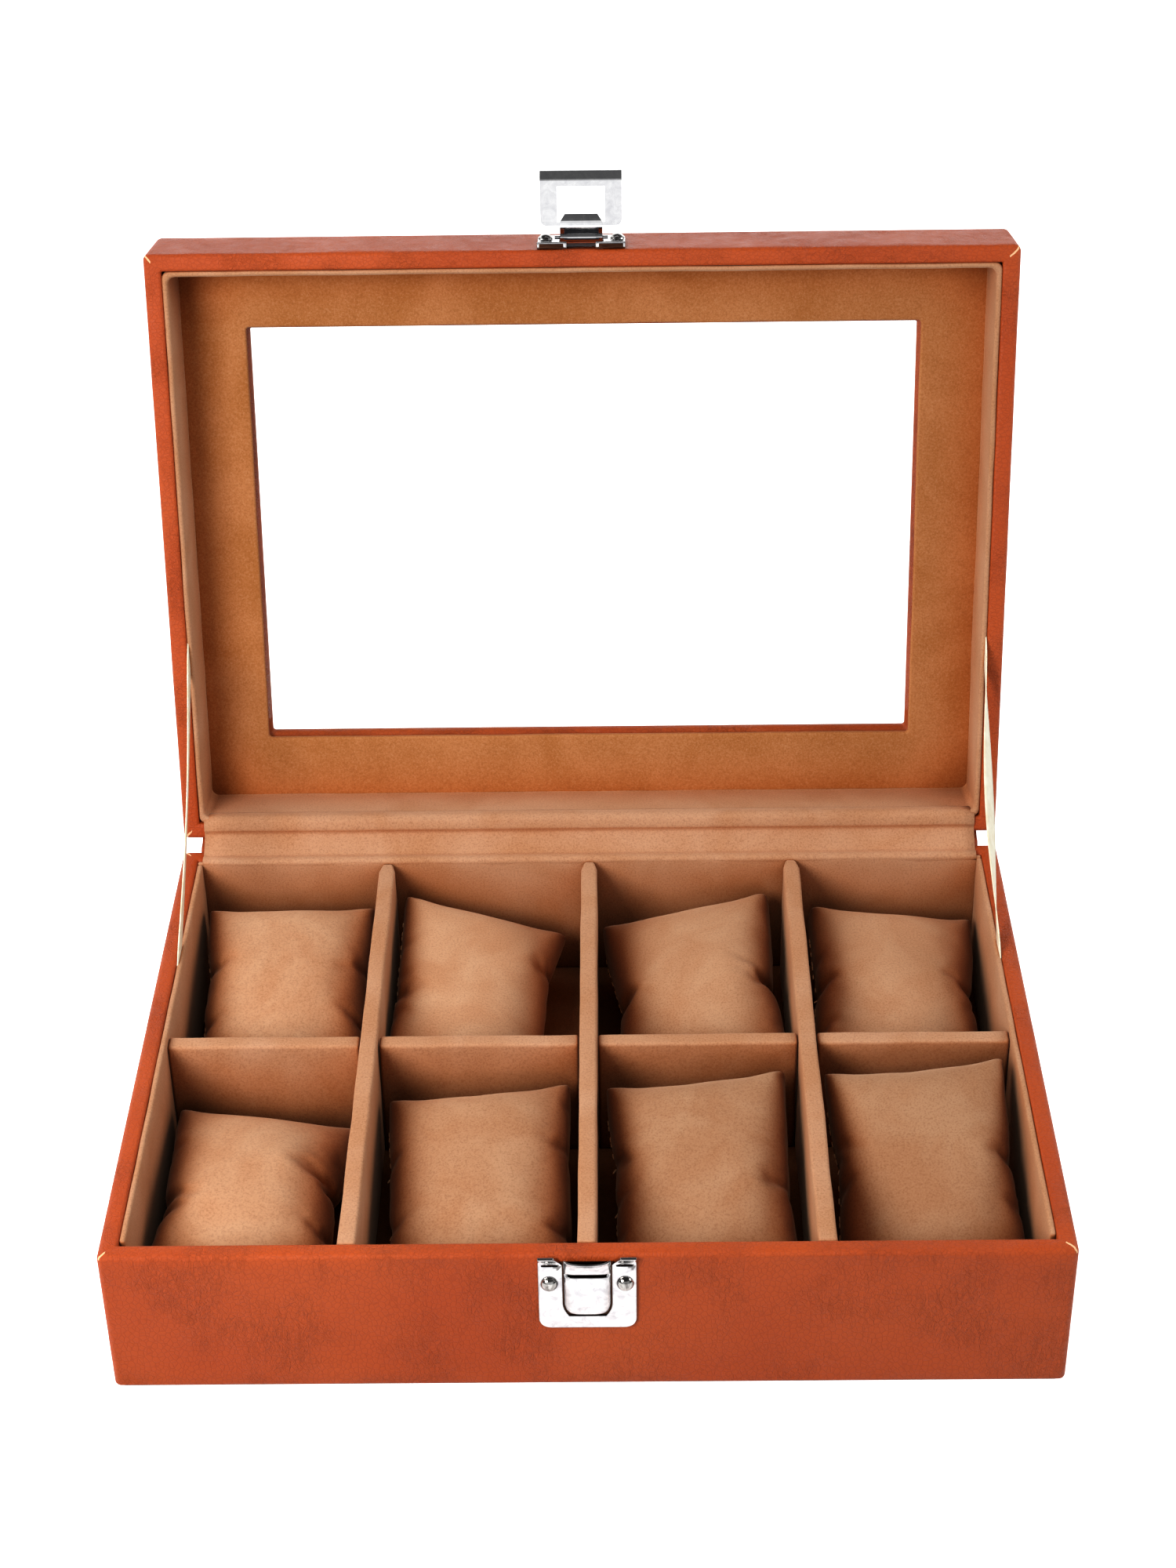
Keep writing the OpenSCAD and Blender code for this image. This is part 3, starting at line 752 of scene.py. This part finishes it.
# The frame under the glass, wrapped over the card's edge at the window
frame_span = IN_W - box_of("lid_top_right")[0].x
frame_r = 0.8
panel = [(0.3, panel_low.z)] + [(x, panel_low.z) for x in between(0.3, frame_span - frame_r, 3)]
panel += [
    (x, panel_low.z + frame_r - y)
    for x, y in turn_in(frame_span - frame_r, 0, frame_r, 90, 0)
]
panel += [(frame_span, panel_high.z)]
verts, faces = sweep_round([(x, z, 1.2) for x, z in panel], IN_W, IN_D)
window_frame = piece("window_frame_velvet", wobble(verts, 0.2, 17, 5.0), faces, frame_look, "lid")
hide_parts("lid_window_liner")

# ---- dividers ----------------------------------


def long_divider(node, seed):
    """A card wrapped in velvet, folded to a point at its rear end."""
    low, high = box_of(node)
    verts, faces = soft_box(low, high, 1.1, 3.2)
    nose = 3.0
    mid = (low.x + high.x) / 2
    for v in verts:
        if v.y < low.y + 2:
            v.y -= 1.6
        into = nose - (high.y - v.y)
        if into > 0:
            v.x = mid + (v.x - mid) * (1 - 0.62 * (into / nose) ** 1.6)
    made = piece(f"{node}_velvet", wobble(verts, 0.26, 15, seed), faces, velvet_look, "base")
    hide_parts(node)


for seed, node in enumerate(("divider_left", "divider_middle", "divider_right"), 11):
    long_divider(node, seed)

low, high = box_of("divider_cross")
lanes = [box_of(n) for n in ("divider_left", "divider_middle", "divider_right")]
starts = [low.x] + [b[1].x + 0.25 for b in lanes]
ends = [b[0].x - 0.25 for b in lanes] + [high.x]
cross_parts = []
for i, (x0, x1) in enumerate(zip(starts, ends)):
    part = soft_box((x0, low.y, low.z), (x1, high.y, high.z), 1.1, 3.2)
    cross_parts.append((wobble(part[0], 0.24, 14, 21 + i), part[1]))
cross = piece("divider_cross_velvet", *joined(cross_parts), velvet_look, "base")
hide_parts("divider_cross")

# ---- cushions ----------------------------------

CUSHION_SCALE = 10
CUSHION_FRAMES = 22


def inflate(verts, faces, pressure, bend):
    """Blows up a flat closed pocket of cloth, and returns its vertices. Worked ten times larger."""
    mesh = bpy.data.meshes.new("pocket")
    mesh.from_pydata([tuple(v * MM * CUSHION_SCALE) for v in verts], [], faces)
    obj = bpy.data.objects.new("pocket", mesh)
    bpy.context.scene.collection.objects.link(obj)
    cloth = obj.modifiers.new("Cloth", "CLOTH")
    cloth.settings.quality = 5
    cloth.settings.mass = 0.3
    cloth.settings.tension_stiffness = 18
    cloth.settings.compression_stiffness = 18
    cloth.settings.shear_stiffness = 6
    cloth.settings.bending_stiffness = bend
    cloth.settings.use_pressure = True
    cloth.settings.uniform_pressure_force = pressure
    cloth.settings.effector_weights.gravity = 0
    cloth.collision_settings.use_collision = False
    cloth.point_cache.frame_start = 1
    cloth.point_cache.frame_end = CUSHION_FRAMES
    for number in range(1, CUSHION_FRAMES + 1):
        bpy.context.scene.frame_set(number)
    ready = obj.evaluated_get(bpy.context.evaluated_depsgraph_get())
    found = [v.co / (MM * CUSHION_SCALE) for v in ready.data.vertices]
    bpy.context.scene.frame_set(1)
    bpy.data.objects.remove(obj)
    return found


def soft_limit(value, low, high, ease=5.0):
    """Presses a coordinate inside low and high, flattening over the last millimetres."""
    if value < low + ease:
        value = low + ease * math.exp((value - low - ease) / ease)
    if value > high - ease:
        value = high - ease * math.exp((high - ease - value) / ease)
    return value


# Each cushion's flat pocket (width, depth), how far its sides bow out, its lean in degrees (rear
# up, right down, turned clockwise), the shift of its middle (x, z), the pressure in it, how stiff
# its cloth is to bend, and how much lighter or darker its colour is made
CUSHIONS = (
    ((61, 8), 0.045, (13, 1, -1), (1.0, -0.5), 5.5, 0.3, 1.04),
    ((60, 7), 0.020, (9, 15, 6), (-6.0, -1.0), 5.5, 0.2, 1.08),
    ((62, 7), 0.045, (10, -12, -5), (1.5, 0.0), 5.5, 0.2, 0.92),
    ((60, 8), 0.050, (8, 5, 3), (-0.5, -2.0), 5.5, 0.3, 0.97),
    ((62, 7), 0.060, (0, 5, 3), (-1.5, -4.0), 5.0, 0.3, 1.02),
    ((61, 8), 0.045, (8, -5, -2), (1.5, 0.0), 6.5, 0.2, 0.87),
    ((60, 8), 0.035, (14, -7, -2), (0.5, 2.0), 6.0, 0.2, 0.78),
    ((60, 8), 0.040, (19, -6, -2), (0.5, 4.5), 6.0, 0.2, 0.76),
)
POCKET_LENGTH = 87
END_BOW = 0.02
SHIFT_Y = -1
CUSHION_CELL = 2.2
LONGEST_MOVE = 24
CUSHION_GAP = 0.5


def room_around(node):
    """The compartment that a cushion lies in: low and high x, low and high y."""
    low, high = box_of(node)
    x, y = (low.x + high.x) / 2, (low.y + high.y) / 2
    walls_x = [-ROOM_W] + [e for b in lanes for e in (b[0].x, b[1].x)] + [ROOM_W]
    cross_low, cross_high = box_of("divider_cross")
    walls_y = [-ROOM_D, cross_low.y, cross_high.y, ROOM_D]
    return (
        max(w for w in walls_x if w < x), min(w for w in walls_x if w > x),
        max(w for w in walls_y if w < y), min(w for w in walls_y if w > y),
    )


def stitches(name, seam, body):
    """Short thread capsules along a closing seam."""
    pitch, long, thick = 3.4, 1.0, 0.24
    parts = []
    travelled, due = 0.0, pitch
    for a, b in zip(seam, seam[1:]):
        travelled += (b - a).length
        if travelled < due:
            continue
        due += pitch
        along = (b - a).normalized()
        side = along.orthogonal().normalized()
        third = along.cross(side)
        verts = []
        for t, r in ((-1, 0.35), (-0.7, 1), (0.7, 1), (1, 0.35)):
            for k in range(6):
                turn = math.tau * k / 6
                around = side * math.cos(turn) + third * math.sin(turn)
                verts.append(a + along * long * t + around * thick * r)
        parts.append((verts, tube_faces(3, 6)))
    piece(name, *joined(parts), thread_look, body)


def ironed(placed, rest, faces, length):
    """Smooths the kinks that the cloth leaves along the two end seams, corners excepted."""
    near = [set() for v in rest]
    for face in faces:
        for a, b in zip(face, face[1:] + face[:1]):
            near[a].add(b)
            near[b].add(a)
    half_x = max(r.x for r in rest)
    share = []
    for r in rest:
        from_end = length / 2 - abs(r.y)
        along = min(1.0, max(0.0, (0.80 - abs(r.x) / half_x) / 0.25))
        share.append(0.6 * along * max(0.0, 1 - from_end / 16))
    for turn in range(14):
        placed = [
            p.lerp(sum((placed[k] for k in near[i]), Vector()) / len(near[i]), share[i])
            if share[i] > 0 else p
            for i, p in enumerate(placed)
        ]
    return placed


def cushion(number, pocket, side_bow, lean, shift, pressure, bend, tone):
    """A swelled and leaned pillow with a stitched seam down its left side."""
    node = f"cushion_{number}"
    width, deep = pocket
    length = POCKET_LENGTH
    rear_up, right_down, clockwise = lean
    low, high = box_of(node)
    across, along = round(width / CUSHION_CELL), round(length / CUSHION_CELL)
    flat_x = [-width / 2 + width * i / across for i in range(across + 1)]
    flat_y = [-length / 2 + length * i / along for i in range(along + 1)]
    verts, faces = grid_box(flat_x, flat_y, [-deep / 2, 0, deep / 2])
    for v in verts:
        u, w = 2 * v.x / width, 2 * v.y / length
        v.x *= 1 + side_bow * (1 - w * w)
        v.y *= 1 + END_BOW * (1 - u * u)
    rest = [v.copy() for v in verts]
    for v in verts:
        if v.z:
            bump = noise.noise(v / 20 + Vector((number * 3.1, number, 0)))
            v.z += math.copysign(0.5 * bump, v.z)
    shaped = inflate(verts, faces, pressure, bend)
    shaped = [
        r + (s - r).normalized() * min((s - r).length, LONGEST_MOVE) for r, s in zip(rest, shaped)
    ]
    tilt = (
        Matrix.Rotation(math.radians(-clockwise), 4, "Z")
        @ Matrix.Rotation(math.radians(rear_up), 4, "X")
        @ Matrix.Rotation(math.radians(right_down), 4, "Y")
    )
    middle = (low + high) / 2 + Vector((shift[0], SHIFT_Y, shift[1]))
    x0, x1, y0, y1 = room_around(node)
    placed = []
    for v in shaped:
        p = tilt @ v + middle
        p.x = soft_limit(p.x, x0 + CUSHION_GAP, x1 - CUSHION_GAP, 3)
        p.y = soft_limit(p.y, y0 + CUSHION_GAP, y1 - CUSHION_GAP, 3)
        p.z = max(soft_limit(p.z, FLOOR_Z + CUSHION_GAP, 200, 4), FLOOR_Z + CUSHION_GAP)
        placed.append(p)
    placed = ironed(placed, rest, faces, length)
    sideways = tilt.to_3x3() @ Vector((1, 0, 0))
    leftmost = {}
    for r in rest:
        leftmost[r.y] = min(r.x, leftmost.get(r.y, 0.0))
    seam = []
    for i, r in enumerate(rest):
        if r.z == 0:
            placed[i] = placed[i].lerp(middle, 0.022)
            if abs(r.y) < 0.42 * length and r.x == leftmost[r.y]:
                seam.append((r.y, placed[i] - 0.15 * sideways))
    seam = [p for y, p in sorted(seam, key=lambda pair: pair[0])]
    made = piece(f"{node}_suede", placed, faces, suede(f"suede_{node}", tone))
    rest_pos = made.data.attributes["rest_pos"]
    rest_pos.data.foreach_set("vector", [c for v in rest for c in v + Vector((0, 0, 90 * number))])
    smooth = made.modifiers.new("round", "SUBSURF")
    smooth.levels = smooth.render_levels = 1
    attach(made, node)
    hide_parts(node)
    stitches(f"{node}_stitches", seam, node)


for number, settings in enumerate(CUSHIONS, 1):
    cushion(number, *settings)

# ---- hinge strips ------------------------------

STRIP_CELL = 5.0


def bent_strip(name, line, x0, x1, thick, look, seed):
    """A strip of cloth along X that follows a line of (y, z), with a thickness to its left."""
    count = round((x1 - x0) / STRIP_CELL)
    xs = [x0 + (x1 - x0) * i / count for i in range(count + 1)]
    line = [Vector(p) for p in line]
    back = []
    for i, p in enumerate(line):
        along = (line[min(i + 1, len(line) - 1)] - line[max(i - 1, 0)]).normalized()
        back.append(p + thick * Vector((-along.y, along.x)))
    ring = line + back[::-1]
    verts = [Vector((x, p.x, p.y)) for x in xs for p in ring]
    made = piece(name, wobble(verts, 0.12, 12, seed), tube_faces(count, len(ring)), look)
    return made


def smooth_line(points):
    """A Catmull-Rom line through (y, z) points."""
    steps = 5
    pts = [Vector(p) for p in points]
    pts = [2 * pts[0] - pts[1]] + pts + [2 * pts[-1] - pts[-2]]
    line = []
    for a, b, c, d in zip(pts, pts[1:], pts[2:], pts[3:]):
        for k in range(steps):
            t = k / steps
            line.append(0.5 * (
                2 * b + (c - a) * t + (2 * a - 5 * b + 4 * c - d) * t * t
                + (3 * b - a - 3 * c + d) * t ** 3
            ))
    return line + [pts[-2]]


over = 0.55
velvet_line = smooth_line([
    (ROOM_D + 0.9, RIM_Z - 7), (ROOM_D + 0.4, RIM_Z - 3.5), (ROOM_D, RIM_Z - 0.7),
    (ROOM_D + 0.9, RIM_Z + 0.45),
    (ROOM_D + 2.4, RIM_Z + over + 0.1), (ROOM_D + 3.6, RIM_Z + over - 0.35),
    (HALF_D - 2.2, RIM_Z + over + 0.15),
    on_lid(0.9, -over), on_lid(2.2, -over + 0.35), on_lid(3.4, -over - 0.2), on_lid(5.6, -over),
    on_lid(WALL + LINER - 0.6, 0.1), on_lid(WALL + LINER + over * 0.8, 1.9),
    on_lid(WALL + LINER + over * 0.5, 5),
])
strip = bent_strip(
    "hinge_velvet_strip", velvet_line, -ROOM_W, ROOM_W, -0.5, velvet_look, 4.0
)
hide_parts("hinge_velvet")
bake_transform(strip)

low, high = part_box("hinge_leather")
bow = 4.6
outside = smooth_line([
    (HALF_D + 0.15, RIM_Z - 15), (HALF_D + 0.15, RIM_Z - 8), (HALF_D + 0.3, RIM_Z - 3),
    (HALF_D + 1.6, RIM_Z - 0.4), (HALF_D + bow, RIM_Z + 0.1),
    on_lid(-1.1, 4.0), on_lid(-0.3, 7.5), on_lid(-0.15, 11), on_lid(-0.15, 15),
])
strip = bent_strip(
    "hinge_leather_strip", outside, low.x / MM, high.x / MM, -0.6, hinge_leather_look, 8.0
)
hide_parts("hinge_leather")
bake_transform(strip)

# ---- ribbons -----------------------------------

RIBBON_W = 6.0
RIBBON_HALF_THICK = 0.2
RIBBON_BACK = 65.0
RIBBON_SLOPE = math.radians(42)
RIBBON_TUCK = 9.0
RIBBON_BOW = 0.9
RIBBON_SAG = 0.4


def ribbon(side_name, side, twist):
    """A ribbon from between the wall and its lining in the base to the same place in the lid."""
    low, high = box_of(f"ribbon_{side_name}")
    x = side * (IN_W - 0.35)
    y_base = low.y + 0.5 * RIBBON_W / math.sin(RIBBON_SLOPE)
    start, end = Vector((x, y_base, RIM_Z)), Vector((x, *on_lid(RIBBON_BACK, 0)))
    along = (end - start).normalized()
    tuck = RIBBON_TUCK / (end - start).length
    verts = []
    count = 36
    for i in range(count + 1):
        t = -tuck + (1 + 2 * tuck) * i / count
        free = max(0.0, math.sin(math.pi * min(max(t, 0), 1)))
        p = start.lerp(end, t) + Vector((-side * RIBBON_BOW * free, 0, -RIBBON_SAG * free))
        angle = math.radians(twist) * free ** 1.5
        flat = along.cross(Vector((1, 0, 0))).normalized()
        wide = flat * math.cos(angle) + Vector((side, 0, 0)) * math.sin(angle)
        thin = along.cross(wide).normalized()
        for face in (1, -1):
            for u in (-1, -0.5, 0, 0.5, 1):
                verts.append(p + face * (wide * u * RIBBON_W / 2 + thin * RIBBON_HALF_THICK))
    faces = tube_faces(count, len(verts) // (count + 1))
    made = piece(f"ribbon_{side_name}_satin", verts, faces, ribbon_look)
    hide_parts(f"ribbon_{side_name}")
    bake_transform(made)


ribbon("left", -1, 6)
ribbon("right", 1, 34)

# ---- clasp -------------------------------------

FACE = -HALF_D
plate_low, plate_high = box_of("catch_plate")
SHEET = 0.8
SLOT = 14.2
PLATE_R = 3.5
FLARE = 1.65  # the flanges stay clear of the closed hasp, which starts 2.6 from the face
NOTCH = 4.6


def steps(*marks, cell=0.9):
    """Coordinates through the marks, no further apart than cell."""
    line = [marks[0]]
    for a, b in zip(marks, marks[1:]):
        count = max(1, math.ceil((b - a) / cell - 1e-6))
        line += [a + (b - a) * k / count for k in range(1, count + 1)]
    return line


def soft_edges(obj, width):
    """Rounds the sharp edges of an object."""
    edge = obj.modifiers.new("edge", "BEVEL")
    edge.width = width * MM
    edge.segments = 2
    edge.limit_method = "ANGLE"
    edge.angle_limit = math.radians(50)


def pressed_sheet(name, xs, zs, keep, shape, replaced, body, thick=SHEET, look=chrome_look):
    """Sheet metal pressed from the cells of a grid that keep() names. shape() places each point."""
    found, verts, faces = {}, [], []
    for i in range(len(xs) - 1):
        for j in range(len(zs) - 1):
            if not keep((xs[i] + xs[i + 1]) / 2, (zs[j] + zs[j + 1]) / 2):
                continue
            quad = []
            for key in ((i, j), (i + 1, j), (i + 1, j + 1), (i, j + 1)):
                if key not in found:
                    found[key] = len(verts)
                    verts.append(Vector(shape(xs[key[0]], zs[key[1]])))
                quad.append(found[key])
            faces.append(quad)
    made = piece(name, verts, faces, look, body)
    solid = made.modifiers.new("sheet", "SOLIDIFY")
    solid.thickness = thick * MM
    solid.offset = -1
    soft_edges(made, 0.16)
    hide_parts(replaced)


def rounded_end(x, z, half, end, way):
    """Moves a point of a plate's free end onto its rounded corners."""
    dx = (abs(x) - (half - PLATE_R)) / PLATE_R
    dz = (z - (end - way * PLATE_R)) * way / PLATE_R
    if dx > 0 and dz > 0:
        x = math.copysign(half - PLATE_R + PLATE_R * dx * math.sqrt(1 - dz * dz / 2), x)
        z = end - way * PLATE_R + way * PLATE_R * dz * math.sqrt(1 - dx * dx / 2)
    return x, z


def ear_taper(x, rise, half):
    """Narrows an ear from its inner side, as rise goes from 0 to 1."""
    return math.copysign(half - (half - abs(x)) * (1 - 0.36 * max(0.0, rise)), x)


def dome(node, body):
    """A round nail head."""
    low, high = box_of(node)
    x, z = (low.x + high.x) / 2, (low.z + high.z) / 2
    radius, height, count = 2.5, 1.8, 24
    rings = 7
    verts, faces = [Vector((x, FACE - SHEET - height, z))], []
    for i in range(1, rings + 1):
        tilt = math.radians(90 * i / rings)
        for k in range(count):
            turn = math.tau * k / count
            r = radius * math.sin(tilt)
            verts.append(Vector((
                x + r * math.cos(turn), FACE - SHEET - height * math.cos(tilt), z + r * math.sin(turn)
            )))
    for k in range(count):
        faces.append([0, 1 + k, 1 + (k + 1) % count])
    for i in range(rings - 1):
        for k in range(count):
            a, b = 1 + i * count + k, 1 + i * count + (k + 1) % count
            faces.append([a, a + count, b + count, b])
    faces.append([1 + (rings - 1) * count + k for k in range(count)])
    made = piece(f"{node}_chrome", verts, faces, nail_look, body)
    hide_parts(node)


PLATE_W = plate_high.x - 0.4
CATCH_TOP, CATCH_LOW = plate_high.z, plate_low.z
slit_z = CATCH_TOP - 2.5
EAR_TOP = CATCH_TOP + 0.6
SLOT_LOW = CATCH_LOW + 4.6


def catch_kept(x, z):
    in_slot = abs(x) < SLOT / 2 and z > SLOT_LOW
    in_slit = SLOT / 2 + 1.2 < abs(x) < PLATE_W - 1.0 and slit_z - 0.6 < z < slit_z
    return not in_slot and not in_slit


def slot_taper(x, z, half):
    """Draws the slot's sides in toward its lower end."""
    low = min(max((SLOT_LOW + 5 - z) / 5, 0.0), 1.0) if z > SLOT_LOW else max(0.0, 1 - (SLOT_LOW - z) / 3)
    share = 1.0 if abs(x) <= half else max(0.0, 1 - (abs(x) - half) / (PLATE_W - half))
    return x - math.copysign(min(abs(x), half) * 0.24 * low * low * share, x)


def catch_shape(x, z):
    rise = (z - slit_z) / (EAR_TOP - slit_z)
    if abs(x) >= SLOT / 2 and rise > 0:
        x = ear_taper(x, rise, PLATE_W)
    x = slot_taper(x, z, SLOT / 2)
    x, z = rounded_end(x, z, PLATE_W, CATCH_LOW, -1)
    return x, FACE - SHEET - 1.3 * max(0.0, rise) ** 1.4, z


ear_marks = (SLOT / 2, SLOT / 2 + 1.2, PLATE_W - 1.0, PLATE_W)
plate_xs = steps(*[-m for m in reversed(ear_marks)], *ear_marks)
plate_zs = steps(CATCH_LOW, SLOT_LOW, slit_z - 0.6, slit_z, EAR_TOP)
pressed_sheet("catch_plate_chrome", plate_xs, plate_zs, catch_kept, catch_shape, "catch_plate", "base")

TONGUE_W = box_of("catch_tongue")[1].x
panel_z = (SLOT_LOW + 1.5, CATCH_TOP - 6.4)
lip_z = (CATCH_TOP - 5.5, CATCH_TOP + 0.6)
neck = TONGUE_W - 1.2


def tongue_kept(x, z):
    return not (panel_z[1] < z < lip_z[0] and abs(x) < neck)


def tongue_shape(x, z):
    u = x / TONGUE_W
    middle = (z - panel_z[0]) / (panel_z[1] - panel_z[0])
    if z <= panel_z[1]:
        bulge = 0.5 + 1.4 * math.sin(math.pi * min(max(0.08 + 0.8 * middle, 0), 1)) ** 0.8
        out = bulge * (1 - abs(u) ** 7)
        x = slot_taper(x, z, TONGUE_W)
        z += 0.9 * u ** 4 * max(0.0, 1 - middle / 0.4)
    elif z < lip_z[0]:
        out = 0.1
    else:
        rise = (z - lip_z[0]) / (lip_z[1] - lip_z[0])
        out = 0.9 * (1 - abs(u) ** 7) + 1.7 * rise ** 1.5
        z -= 1.2 * (1 - u * u) * rise * rise
    return x, FACE - SHEET - out, z


tongue_xs = steps(-TONGUE_W, -neck, neck, TONGUE_W, cell=0.7)
tongue_zs = steps(*panel_z, *lip_z, cell=0.7)
pressed_sheet(
    "catch_tongue_chrome", tongue_xs, tongue_zs, tongue_kept, tongue_shape,
    "catch_tongue", "base", thick=0.45,
)

# A backing plate behind the catch's slot, made near-black as painted shadow in the slot and beside the tongue.
backing_plate_and_shade = soft_box(
    (-SLOT / 2 - 0.6, FACE - 0.3, SLOT_LOW - 0.5),
    (SLOT / 2 + 0.6, FACE - 0.02, CATCH_TOP - 1.6), 0.1, 3.0,
)
piece("catch_backing_plate", *backing_plate_and_shade, shade_sheet_look, "base")

HASP_LOW, HASP_HIGH = (corner.z for corner in box_of("hasp_plate"))
flange_z = HASP_LOW + 0.9
flange_lift = 0.7
slot_from, slot_to = LID_Z + 2, LID_Z + 14


def hasp_plate_kept(x, z):
    in_slot = abs(x) < SLOT / 2 and slot_from < z < slot_to
    in_notch = abs(x) < NOTCH and z < slot_from
    return not in_slot and not in_notch


def hasp_plate_shape(x, z):
    x, z = rounded_end(x, z, PLATE_W, HASP_HIGH, 1)
    fold = max(0.0, (flange_z - z) / (flange_z - HASP_LOW))
    return x, FACE - SHEET - FLARE * fold, z + flange_lift * fold


flange_zs = [HASP_LOW, HASP_LOW + 0.3, HASP_LOW + 0.6]
hasp_xs = steps(-PLATE_W, -SLOT / 2, -NOTCH, NOTCH, SLOT / 2, PLATE_W)
hasp_zs = flange_zs + steps(flange_z, slot_from, slot_to, HASP_HIGH)
pressed_sheet(
    "hasp_plate_chrome", hasp_xs, hasp_zs, hasp_plate_kept, hasp_plate_shape,
    "hasp_plate", "lid",
)

# Painted shadow: near-black sheets set in the flanges, where they curl out from the plate.
for side_name, side in (("left", -1), ("right", 1)):
    inner, outer = sorted((side * (SLOT / 2 - 1.4), side * (PLATE_W - 0.7)))
    shade_sheet = soft_box(
        (inner, FACE - SHEET - FLARE + 0.5, HASP_LOW - 0.15),
        (outer, FACE - 0.4, HASP_LOW + 1.3), 0.12, 3.0,
    )
    piece(f"hasp_flange_pad_{side_name}", *shade_sheet, shade_sheet_look, "lid")

spring_low, spring_high = box_of("hasp_spring")
spring_z = (spring_low.z, spring_high.z)


def spring_shape(x, z):
    """A leaf hollowed where the closed hasp's bowed tab passes over it."""
    rise = (z - spring_z[0]) / (spring_z[1] - spring_z[0])
    return x, FACE - 0.5 - 1.2 * (rise - 0.62) ** 2, z


spring_xs = steps(-spring_high.x, spring_high.x)
pressed_sheet(
    "hasp_spring_steel", spring_xs, steps(*spring_z), lambda x, z: True, spring_shape,
    "hasp_spring", "lid", thick=0.3, look=spring_look,
)

for node in ("catch_nail_left", "catch_nail_right", "hasp_nail_left", "hasp_nail_right"):
    dome(node, "lid" if node in LID_NODES else "base")

soft_edges(frame["nodes"]["hasp"], 0.18)

# ---- carried-over nodes ------------------------

chrome_cad = chrome("chrome_cad", True, light="EDEDEE", dark="DADADD")
for name, obj in frame["nodes"].items():
    if obj.hide_render:
        continue
    if name.endswith("_board") or name.startswith("lid_top_"):
        look = board_look
    elif name == "base_underside":
        look = backing_look
    elif name == "window_glass":
        look = glass_look
    else:
        look = chrome_cad
    obj.data.materials.clear()
    obj.data.materials.append(look)
